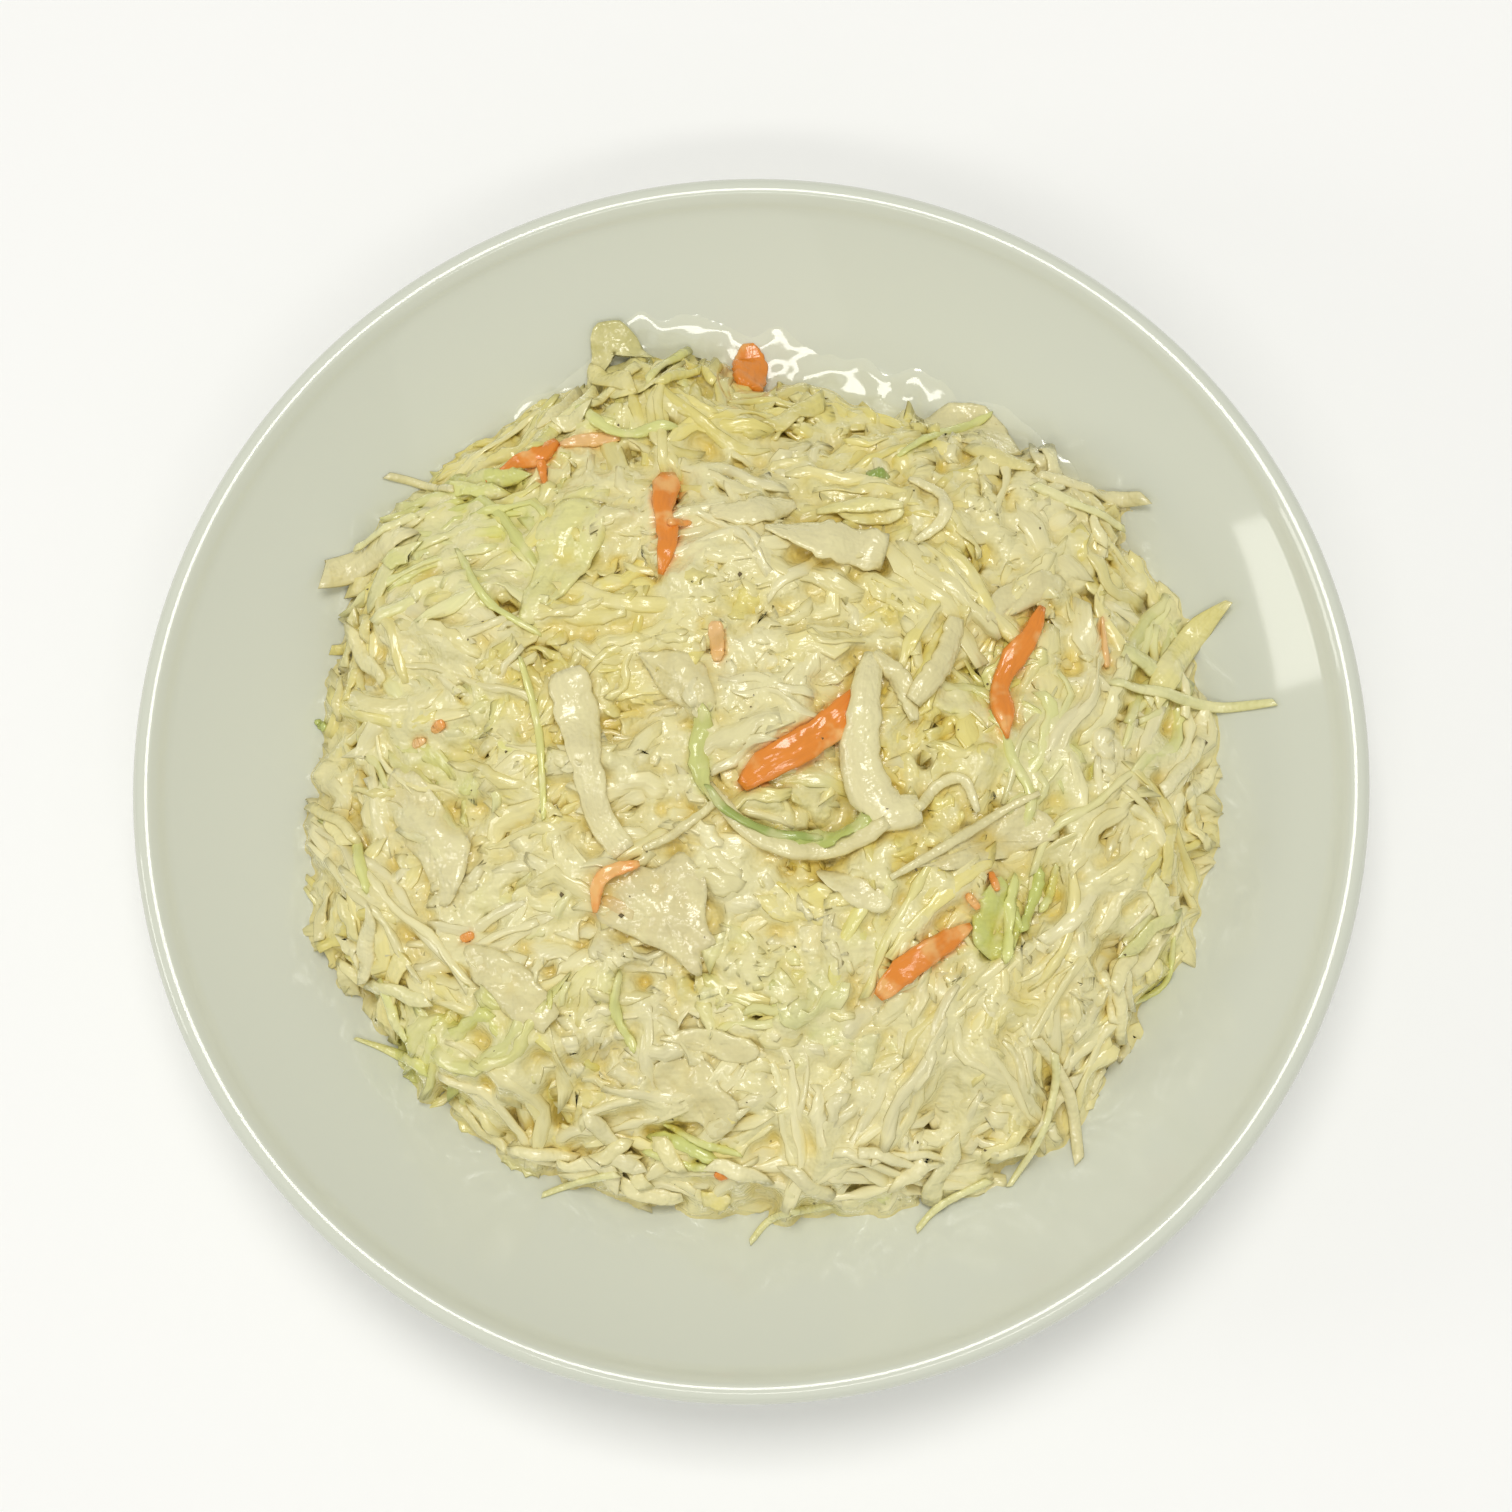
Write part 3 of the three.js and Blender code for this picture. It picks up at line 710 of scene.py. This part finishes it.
# ---- Carrot sticks -------------------------------------------------------------------------
# Raw carrot cut by a coarse shredder into flattish sticks, bright orange where the dressing
# has run off and pale where it still clings.
carrots = Batch()
ORANGE, MILKY, PINKISH = paint(230, 138, 46), paint(236, 160, 80), paint(234, 190, 128)
for corners, width, lift, colour, profile in (
    (((0.5, -4.5), (4, -1.5), (9.5, 1.5), (15, 5.5), (20.5, 12)), 5.4, 0.4, ORANGE, (0.8, 1, 1, 0.95, 0.5)),
    (
        ((48, 25.5), (46, 20.5), (43, 16.5), (41, 12), (41.5, 8), (42, 3.5)),
        4.2, 0.2, ORANGE, (0.6, 0.7, 1, 0.65, 1, 0.2),
    ),
    (((21.5, -37), (25.5, -33), (30.5, -29.5), (36, -26)), 4.4, 0.3, ORANGE, (0.8, 1, 0.9, 0.5)),
    (
        ((-12, 48), (-12.5, 41.5), (-11.5, 36), (-12.5, 30)),
        4.8, 0.2, ORANGE, (1.15, 0.95, 0.6, 0.75, 0.6, 0.35),
    ),
    (((-11.5, 38.5), (-8, 39)), 1.6, 0.1, ORANGE, (1, 0.5)),
    (((-43, 49.5), (-38, 52), (-34.5, 52.5), (-31, 55.5)), 3.4, -0.2, ORANGE, (0.3, 0.5, 1, 0.8)),
    (((-33.5, 52), (-32.5, 47.5)), 2.0, -0.1, ORANGE, (1, 0.4)),
    (((-30.5, 55), (-25.5, 56), (-20.5, 56)), 2.4, -0.4, PINKISH, (0.6, 1, 0.8)),
    (((0, 67), (0.3, 71), (0, 75.8)), 6.4, 0.2, ORANGE, (1, 1, 0.55)),
    (((-22.5, -24), (-22, -20), (-20, -17.8), (-15.5, -16.5)), 2.2, 1.4, MILKY, (0.6, 1, 1, 0.8)),
    (((-4.5, -64.7), (-1.5, -63.5)), 2.4, 0.0, ORANGE, (0.8, 0.8)),
    (((-3.5, 15.5), (-3.5, 21.5)), 2.8, -0.3, PINKISH, (0.7, 1)),
    (((58, 25), (58.2, 21), (58.5, 16.5)), 1.3, 0.0, PINKISH, (0.5, 0.6, 1)),
    (((-53.5, 4.5), (-51.5, 5.2)), 1.8, -0.3, PINKISH, (1, 0.6)),
    (((-49.8, 6.3), (-47.8, 7.3)), 1.9, -0.3, MILKY, (0.7, 1)),
    (((-45.0, -27), (-43.2, -26.5)), 1.5, -0.2, MILKY, (1, 1)),
    (((39.2, -17.6), (40.2, -20.4)), 1.5, 0.2, ORANGE, (0.8, 0.8)),
    (((35.5, -21.3), (37.1, -23.3)), 1.6, 0.1, MILKY, (0.8, 0.8)),
):
    lay(
        carrots,
        through(corners, 18),
        width,
        1.9 if width > 3 else 1.2,
        colour,
        ring=14,
        stiff=12,
        lift=lift,
        tips=(0.5, 0.5),
        ragged=0.08,
        square=0.5,
        profile=profile,
    )

# ---- Ribs and broad strips -----------------------------------------------------------------
# Thick, glossy slices of the leaves' white midribs, and the widest strips, which lie on top
# of the heap.
ribs = Batch()
for corners, width, thick, colour, profile in (
    (
        ((21, 16.5), (20, 11), (19.6, 6), (18.8, 0.5), (20.3, -5), (23.8, -8.5), (28, -8)),
        6.8, 3.0, WHITE, (0.6, 0.75, 0.95, 1.08, 0.9),
    ),
    (((21.5, 17), (25.5, 12), (27.5, 6)), 3.8, 1.0, CLEAR, (0.6, 1, 0.5)),
    (((28, -8), (31, -4), (35, -3.2), (37.2, -8.2)), 1.9, 1.2, WHITE, (1, 1, 0.7)),
    (
        ((-27.5, 14.5), (-25, 5), (-23.5, -2), (-22, -9), (-18, -14.5)),
        7.2, 1.0, WHITE, (1, 1, 0.68, 0.66, 0.7),
    ),
    (((23.5, -19), (32, -14), (41, -8), (47, -5)), 1.7, 1.0, CLEAR, (0.7, 1, 0.7)),
    (
        ((-4.8, -4.2), (1.2, -11.2), (9.2, -14.2), (17.2, -13.2), (23.2, -10.2)),
        3.4, 1.8, CLEAR, (0.6, 1, 0.9),
    ),
    (((27.2, 8.8), (32.2, 15.8), (34.2, 22.8)), 4.4, 1.5, CLEAR, (0.8, 1, 0.8)),
    (((-15, -14), (-9, -11), (-3, -6.5)), 1.6, 1.0, CLEAR, (0.8, 1, 0.8)),
    (((-5, 41), (1, 40.5), (8.5, 43)), 5.4, 0.9, WHITE, (0.4, 0.9, 1, 0.4)),
    (((4, 37.5), (11, 36.5), (17.5, 35), (23, 34)), 7.6, 1.0, WHITE, (0.15, 0.7, 1.05, 0.9, 1.05)),
    (((12, 41.5), (19, 42.5), (26, 42)), 3.2, 0.9, YELLOW, (0.4, 1, 0.4)),
    (((27, 47), (32, 44.5), (32.5, 40), (28, 36)), 2.4, 0.9, WHITE, (0.5, 1, 0.6)),
):
    lay(
        ribs,
        through(corners, 22),
        width,
        thick,
        colour,
        ring=14,
        stiff=8,
        lift=0.3 if thick > 2 else 0.15,
        tips=(0.8, 0.75),
        ragged=0.1,
        twist=0.12,
        cup=-0.06,
        profile=profile,
    )

# ---- Green shreds --------------------------------------------------------------------------
# Strips from the cabbage's outer leaves, from yellow-green to fresh green along their edge.
greens = Batch()
LIGHT_GREEN, DARK_GREEN = paint(217, 218, 140), paint(140, 160, 74)
for corners, width, thick, colour in (
    (((-5.3, 8.2), (-6.2, 2), (-5.8, -3.2), (-3.8, -6.8)), 3.4, 0.9, paint(206, 209, 130)),
    (((8.5, -13.0), (14.5, -12.2), (20.2, -9.4)), 3.8, 0.9, paint(184, 194, 106)),
    (((-4.8, -4.5), (-1.8, -8.4), (5.2, -11.7), (13.2, -12.4)), 1.7, 1.2, paint(160, 176, 92)),
    (((20.2, 48.6), (23.6, 47.9)), 2.2, 1.0, DARK_GREEN),
    (((-73.0, 11.6), (-71.4, 9.9)), 1.6, 0.8, paint(190, 200, 118)),
    (((62.2, -37.2), (68.2, -33.2), (69.2, -26.2)), 1.1, 0.8, LIGHT_GREEN),
    (((-70.8, -6.2), (-64.8, -9.2), (-60.8, -19.2)), 2.0, 1.0, LIGHT_GREEN),
    (((-34.8, 16.8), (-31.8, 4.8), (-30.8, -9.2)), 1.4, 0.9, paint(222, 220, 140)),
    (((-46.8, 36.8), (-40.8, 26.8), (-31.8, 20.8)), 1.5, 0.9, LIGHT_GREEN),
    (((41.2, 62.8), (31.2, 56.8), (25.2, 51.8)), 1.8, 0.9, LIGHT_GREEN),
    (((-28.8, 62.8), (-20.8, 56.8), (-10.8, 56.8)), 2.2, 1.0, LIGHT_GREEN),
    (((-18.8, -33.2), (-19.8, -39.2), (-16.8, -45.2)), 2.0, 1.0, LIGHT_GREEN),
    (((43.3, -17.8), (42.0, -24.3), (41.6, -31.6)), 2.2, 0.9, paint(220, 222, 142)),
    (((47.1, -16.5), (46.2, -21.0), (44.1, -26.7)), 2.2, 0.9, paint(200, 206, 116)),
    (((49.9, -15.9), (48.8, -20.1), (47.1, -23.4)), 1.6, 0.9, LIGHT_GREEN),
    (((-15.3, -58.0), (-9.5, -59.7), (-3.0, -63.0)), 2.4, 0.9, paint(208, 212, 130)),
    (((-12.7, -56.4), (-7.0, -59.3), (-0.4, -61.3)), 1.5, 0.9, LIGHT_GREEN),
    (((-16.3, -60.5), (-11.4, -62.5), (-5.6, -63.4)), 1.7, 0.9, LIGHT_GREEN),
):
    lay(
        greens, through(corners, 20), width, 0.8 * thick, colour, stiff=4, lift=0.1, tips=(0.5, 0.4),
        ragged=0.15, twist=0.7, cup=-0.15, cut=(0.5, -0.4), sink=0.55,
    )

# ---- Trailing ends -------------------------------------------------------------------------
# Loose ends of shreds round the foot of the heap: short ones all round, and over them the
# longer ones that hang out over the glaze, some of them standing off it.
for number in range(80):
    turn = random.uniform(0, 2 * math.pi)
    out = outline(turn) * random.uniform(0.9, 1.0)
    edge_point = HEAP_CENTRE + out * np.array((math.cos(turn), math.sin(turn)))
    heading = turn + math.pi / 2 + random.uniform(-1.0, 1.0)
    lay(
        ribs,
        kept_in(arc(edge_point, heading, random.uniform(-0.8, 0.8), random.uniform(4, 13), 0.2, 8), 2.6),
        random.uniform(1.8, 4.0),
        random.uniform(0.7, 1.1),
        cabbage_colour(edge_point),
        stiff=2,
        twist=random.uniform(0, 0.6),
        tips=(0.9, 0.8),
        cup=random.uniform(-0.2, 0.05),
        cut=random.uniform(-0.6, 0.6, 2),
    )
PALE = paint(229, 225, 166)
for corners, width, colour, ends, profile in (
    (((-71.3, 35.4), (-66.0, 37.6), (-56.0, 41.4)), 5.4, WHITE, (2.6, 0.0), (1, 1)),
    (((-66, 40.2), (-61, 41.8), (-54.8, 44.2)), 1.8, PALE, (1.2, 0.0), (1, 1)),
    (((48.2, 49.6), (57.2, 47.8), (66.2, 46.6)), 2.6, WHITE, (0.0, 2.4), (0.7, 1, 1.1)),
    (((47.2, 47.0), (54.2, 44.4), (62.6, 41.6)), 1.9, PALE, (0.0, 1.4), (1, 0.8)),
    (
        ((66.2, 11.8), (70.4, 18.8), (74.6, 24.8), (79.2, 28.6)),
        5.0, YELLOW, (0.0, 2.4), (0.8, 1, 1, 0.85, 0.3),
    ),
    (((59.2, 13.8), (68.2, 12.8), (77.2, 11.8), (86.2, 11.8)), 2.0, PALE, (0.0, 0.5), (1, 1, 0.8)),
    (((46.2, -43.2), (50.2, -48.2), (52.6, -54.2), (53.4, -62.2)), 2.1, WHITE, (0.0, 0.6), (1, 1)),
    (((49.2, -45.2), (49.6, -50.2), (47.2, -58.2), (42.2, -66.2)), 1.6, PALE, (0.0, 0.4), (1, 0.7)),
    (((0.2, -75.2), (4.2, -71.2), (13.2, -69.2)), 1.6, PALE, (0.4, 0.0), (0.7, 1)),
    (((-65.0, -42.0), (-59.5, -44.0), (-52.0, -47.5)), 3.0, paint(220, 219, 132), (0.6, 0.0), (0.2, 1)),
    (((-61.2, 52.8), (-55.8, 51.8), (-48.8, 48.8)), 1.5, WHITE, (0.4, 0.0), (1, 1)),
    (((27.2, -73.2), (31.2, -69.2), (39.2, -65.2)), 1.7, PALE, (0.4, 0.0), (0.7, 1)),
    (((-33.8, -67.6), (-28.8, -65.8), (-20.8, -64.2)), 1.6, PALE, (0.4, 0.0), (0.7, 1)),
):
    lay(
        ribs, through(corners, 18), width, 0.9, colour, ring=10, stiff=3, ends=ends, profile=profile,
        tips=(0.85, 0.8), twist=0.3, cup=-0.1, cut=(0.4, -0.4), sink=0.3,
    )

# ---- Dressing between the shreds ------------------------------------------------------------
# Thick creamy dressing. Here it only wets the shreds and fills the gaps between them, there it
# coats them over so that they show as soft ridges. It runs down to the glaze all round, and
# leaves a few small dark hollows.


def filled(field, radius):
    """The height field with its gaps and inner corners filled where a ball doesn't reach."""
    steps = range(-int(radius / CELL), int(radius / CELL) + 1)
    ball = [(a, b, radius**2 - (a * a + b * b) * CELL**2) for a in steps for b in steps]
    ball = [(a, b, math.sqrt(room) - radius) for a, b, room in ball if room >= 0]
    grown = np.max([np.roll(field, (a, b), (0, 1)) + sag for a, b, sag in ball], axis=0)
    return np.min([np.roll(grown, (a, b), (0, 1)) - sag for a, b, sag in ball], axis=0)


beside = ((0, 0), (1, 0), (-1, 0), (0, 1), (0, -1))
widened = np.max([np.roll(bare_height, shift, (0, 1)) for shift in beside], axis=0)
envelope = blurred(filled(height, 2.6), 0.8)
thickly = np.clip(0.02 + 0.4 * smooth_noise(14) + 0.4 * smooth_noise(6), 0, 0.9)
pits = np.clip(smooth_noise(6) - 1.2, 0, 0.8)
curds = 0.22 * smooth_noise(4.5) + 0.1 * smooth_noise(2.2)
coated = blurred(filled(widened, 1.1), 0.35) + curds - 0.2
wetted = blurred(filled(bare_height, 0.95), 0.35) + 0.5 * curds - 0.14
cream_height = thickly * coated + (1 - thickly) * wetted - 4 * blurred(pits, 0.4)
laid_on_top = height > bare_height + 0.1
cream_height = np.where(laid_on_top, np.minimum(cream_height, height - 0.3), cream_height)
standing = blurred(height - glaze_height, 0.8)
inside = (share < 1.05) & (standing > 0.3)
fall = np.sqrt(np.clip((standing - 0.3) / 1.2, 0, 1))
cream_height = glaze_height - 0.4 + fall * (cream_height - glaze_height + 0.4)


def height_patch(field, shown):
    """Vertices and faces of the part of a height field that is shown, and a cell more."""
    near = shown.copy()
    for shift in ((1, 0), (-1, 0), (0, 1), (0, -1)):
        near |= np.roll(shown, shift, (0, 1))
    number = -np.ones(field.shape, int)
    number[near] = np.arange(near.sum())
    full = near[:-1, :-1] & near[1:, :-1] & near[1:, 1:] & near[:-1, 1:]
    corner = np.argwhere(full)
    steps = ((0, 0), (1, 0), (1, 1), (0, 1))
    faces = np.stack([number[corner[:, 0] + a, corner[:, 1] + b] for a, b in steps], axis=1)
    return np.column_stack((grid_x[near], grid_y[near], field[near])), faces.tolist()


cream_verts, cream_faces = height_patch(
    np.where(inside, cream_height, glaze_height - 0.4), inside
)

# ---- Materials of the food -----------------------------------------------------------------
# Wet vegetable and creamy dressing: each strip's own colour with faint fibres along it, dressing
# clinging in patches, and a glossy surface that ripples along the grain. The pieces laid above
# get their materials here.


def dressing_group():
    """Where dressing clings: a mask by position, and a fine wet unevenness along the grain."""
    group = bpy.data.node_groups.new("clinging_dressing", "ShaderNodeTree")
    for name, kind, way in (
        ("Scale", "NodeSocketFloat", "INPUT"),
        ("Amount", "NodeSocketFloat", "INPUT"),
        ("Grain", "NodeSocketVector", "INPUT"),
        ("Mask", "NodeSocketFloat", "OUTPUT"),
        ("Normal", "NodeSocketVector", "OUTPUT"),
    ):
        group.interface.new_socket(name, in_out=way, socket_type=kind)
    nodes, links = group.nodes, group.links
    entry, leave = nodes.new("NodeGroupInput"), nodes.new("NodeGroupOutput")
    coordinates = nodes.new("ShaderNodeTexCoord")
    coat = nodes.new("ShaderNodeTexNoise")
    coat.inputs["Detail"].default_value = 3
    links.new(coordinates.outputs["Object"], coat.inputs["Vector"])
    links.new(entry.outputs["Scale"], coat.inputs["Scale"])
    bias = nodes.new("ShaderNodeMath")
    bias.operation = "ADD"
    links.new(coat.outputs["Fac"], bias.inputs[0])
    links.new(entry.outputs["Amount"], bias.inputs[1])
    ramp = nodes.new("ShaderNodeMapRange")
    ramp.interpolation_type = "SMOOTHSTEP"
    ramp.inputs["From Min"].default_value = 0.48
    ramp.inputs["From Max"].default_value = 0.64
    links.new(bias.outputs[0], ramp.inputs["Value"])
    links.new(ramp.outputs["Result"], leave.inputs["Mask"])
    fine = nodes.new("ShaderNodeTexNoise")
    fine.inputs["Scale"].default_value = 1
    fine.inputs["Detail"].default_value = 1
    links.new(entry.outputs["Grain"], fine.inputs["Vector"])
    bump = nodes.new("ShaderNodeBump")
    bump.inputs["Strength"].default_value = 1
    bump.inputs["Distance"].default_value = 0.00036
    links.new(fine.outputs["Fac"], bump.inputs["Height"])
    links.new(bump.outputs["Normal"], leave.inputs["Normal"])
    return group


clinging = dressing_group()


def food_material(name, coat_colour, amount, gloss, ripple, coat_share=1.0):
    """A wet vegetable: its own colour with grain along it, and dressing clinging to it."""
    material, shader = new_material(
        name,
        Roughness=gloss,
        IOR=1.5,
        Coat_Weight=0.35,
        Coat_Roughness=0.14,
    )
    nodes, links = material.node_tree.nodes, material.node_tree.links
    hue = nodes.new("ShaderNodeAttribute")
    hue.attribute_name = "hue"
    grain = nodes.new("ShaderNodeAttribute")
    grain.attribute_name = "grain"
    stretch = nodes.new("ShaderNodeMapping")
    stretch.inputs["Scale"].default_value = (0.12, 1.6, 1)
    links.new(grain.outputs["Vector"], stretch.inputs["Vector"])
    fibres = nodes.new("ShaderNodeTexNoise")
    fibres.inputs["Scale"].default_value = 1.0
    fibres.inputs["Detail"].default_value = 3
    links.new(stretch.outputs["Vector"], fibres.inputs["Vector"])
    shade = nodes.new("ShaderNodeMapRange")
    shade.inputs["From Min"].default_value = 0.3
    shade.inputs["From Max"].default_value = 0.7
    shade.inputs["To Min"].default_value = 0.95
    shade.inputs["To Max"].default_value = 1.03
    links.new(fibres.outputs["Fac"], shade.inputs["Value"])
    own = nodes.new("ShaderNodeVectorMath")
    own.operation = "SCALE"
    links.new(hue.outputs["Color"], own.inputs[0])
    links.new(shade.outputs["Result"], own.inputs["Scale"])
    along = nodes.new("ShaderNodeMapping")
    along.inputs["Scale"].default_value = (*ripple, 0.8)
    links.new(grain.outputs["Vector"], along.inputs["Vector"])
    coat = nodes.new("ShaderNodeGroup")
    coat.node_tree = clinging
    links.new(along.outputs["Vector"], coat.inputs["Grain"])
    coat.inputs["Scale"].default_value = 190
    coat.inputs["Amount"].default_value = amount
    part = nodes.new("ShaderNodeMath")
    part.operation = "MULTIPLY"
    part.inputs[1].default_value = coat_share
    links.new(coat.outputs["Mask"], part.inputs[0])
    mixed = nodes.new("ShaderNodeMix")
    mixed.data_type = "RGBA"
    mixed.inputs["B"].default_value = coat_colour
    links.new(part.outputs[0], mixed.inputs["Factor"])
    links.new(own.outputs["Vector"], mixed.inputs["A"])
    links.new(mixed.outputs["Result"], shader.inputs["Base Color"])
    links.new(coat.outputs["Normal"], shader.inputs["Normal"])
    return material


DRESSING = paint(234, 226, 173)
cabbage = food_material("dressed_cabbage", DRESSING, 0.02, 0.15, (0.3, 0.9), 0.5)
leaf = food_material("dressed_leaf", DRESSING, 0.0, 0.15, (0.8, 0.8), 0.5)
carrot = food_material("dressed_carrot", paint(244, 202, 132), -0.02, 0.15, (0.4, 0.7), 0.6)
green = food_material("dressed_green_leaf", DRESSING, -0.04, 0.15, (0.3, 0.6), 0.45)
cream = food_material("creamy_dressing", DRESSING, 0.0, 0.15, (0.8, 0.8), 0.4)

fine_shreds.piece("fine_cabbage_shreds", cabbage, "coleslaw")
wide_shreds.piece("wide_cabbage_shreds", cabbage, "coleslaw")
short_bits.piece("short_cabbage_bits", cabbage, "coleslaw")
flakes.piece("leaf_flakes", leaf, "coleslaw")
carrots.piece("carrot_sticks", carrot, "coleslaw")
ribs.piece("cabbage_ribs", leaf, "coleslaw")
greens.piece("green_shreds", green, "coleslaw")
dressing = Batch()
shaded = np.stack([blurred(shade[:, :, k], 0.6) for k in range(3)], axis=2)
over = np.clip((cream_height - blurred(height, 0.5) + 0.2) / 0.8, 0, 0.8)[:, :, None]
shaded = shaded * (1 - over) + over * np.array(paint(232, 224, 171)[:3])
shaded = shaded[cells(cream_verts[:, :2])]
shaded = np.column_stack((shaded, np.ones(len(shaded))))
dressing.add(cream_verts, cream_faces, shaded, cream_verts)
# Painted shade: as with the strips, the dressing is coloured darker and yellower where it lies low.
dressing.piece("dressing", cream, "coleslaw")

# ---- Thin dressing on the glaze -------------------------------------------------------------
# Runny dressing that has spread a little way up the glaze behind the heap, with a rounded,
# shiny edge.
film_paint, _ = new_material(
    "thin_dressing",
    Base_Color=paint(219, 221, 203),
    Roughness=0.08,
    Coat_Weight=0.6,
    Coat_Roughness=0.04,
)
bearing = np.degrees(np.arctan2(grid_y, grid_x)) % 360
FILM_EDGE = (
    (20, 70), (35, 76.5), (55, 76.5), (66, 76.5), (75, 75.5), (83, 76.5), (90, 78.5), (96, 81),
    (103, 82.5), (108, 80.8), (114, 78.5), (122, 76), (130, 70), (145, 60), (360, 60), (380, 70),
)
film_reach = np.interp(bearing, *zip(*FILM_EDGE)) + 0.7 * smooth_noise(8)
film_depth = film_reach - np.hypot(grid_x, grid_y)
film_waves = 1 + 0.25 * smooth_noise(9) + 0.15 * smooth_noise(4)
film_thick = 0.5 * np.sqrt(np.clip(film_depth / 2, 0, 1)) * film_waves
film = (film_depth > 0) & (share > 0.93)
new_piece(
    "thin_dressing",
    *height_patch(glaze_height - 0.15 + np.where(film, film_thick, 0), film),
    film_paint,
    "coleslaw",
)

# ---- Ground pepper --------------------------------------------------------------------------
# Specks of black pepper, mostly under a millimetre, scattered over the heap.
pepper_paint, _ = new_material(
    "ground_pepper",
    Base_Color=paint(112, 98, 66),
    Roughness=0.6,
)
pepper_verts, pepper_faces = [], []
CORNERS = np.array(((1, 0, 0), (-1, 0, 0), (0, 1, 0), (0, -1, 0), (0, 0, 1), (0, 0, -1)), float)
SIDES = ((0, 2, 4), (2, 1, 4), (1, 3, 4), (3, 0, 4), (2, 0, 5), (1, 2, 5), (3, 1, 5), (0, 3, 5))
COARSE = (
    (-18.6, -24.4), (-28.1, -20.9), (-0, 29.7), (-58, 4.3), (75.1, 5.5),
    (-27, -39.7), (-36.1, -49.3), (-4.3, -54.8), (9.3, 67.6),
)
for number in range(80):
    turn, out = random.uniform(0, 2 * math.pi), 0.96 * math.sqrt(random.uniform(0, 1))
    place = HEAP_CENTRE + out * outline(turn) * np.array((math.cos(turn), math.sin(turn)))
    size = random.uniform(0.12, 0.3) * random.uniform(0.7, 1.2, 3)
    if number < len(COARSE):
        place = np.array(COARSE[number])
        size = random.uniform(0.35, 0.55, 3)
    z = height[cells(place[None])][0]
    base = len(pepper_verts)
    pepper_verts += (CORNERS * size + random.normal(0, 0.05, (6, 3)) + (*place, z + 0.02)).tolist()
    pepper_faces += [tuple(base + k for k in side) for side in SIDES]
new_piece("pepper_specks", pepper_verts, pepper_faces, pepper_paint, "coleslaw")
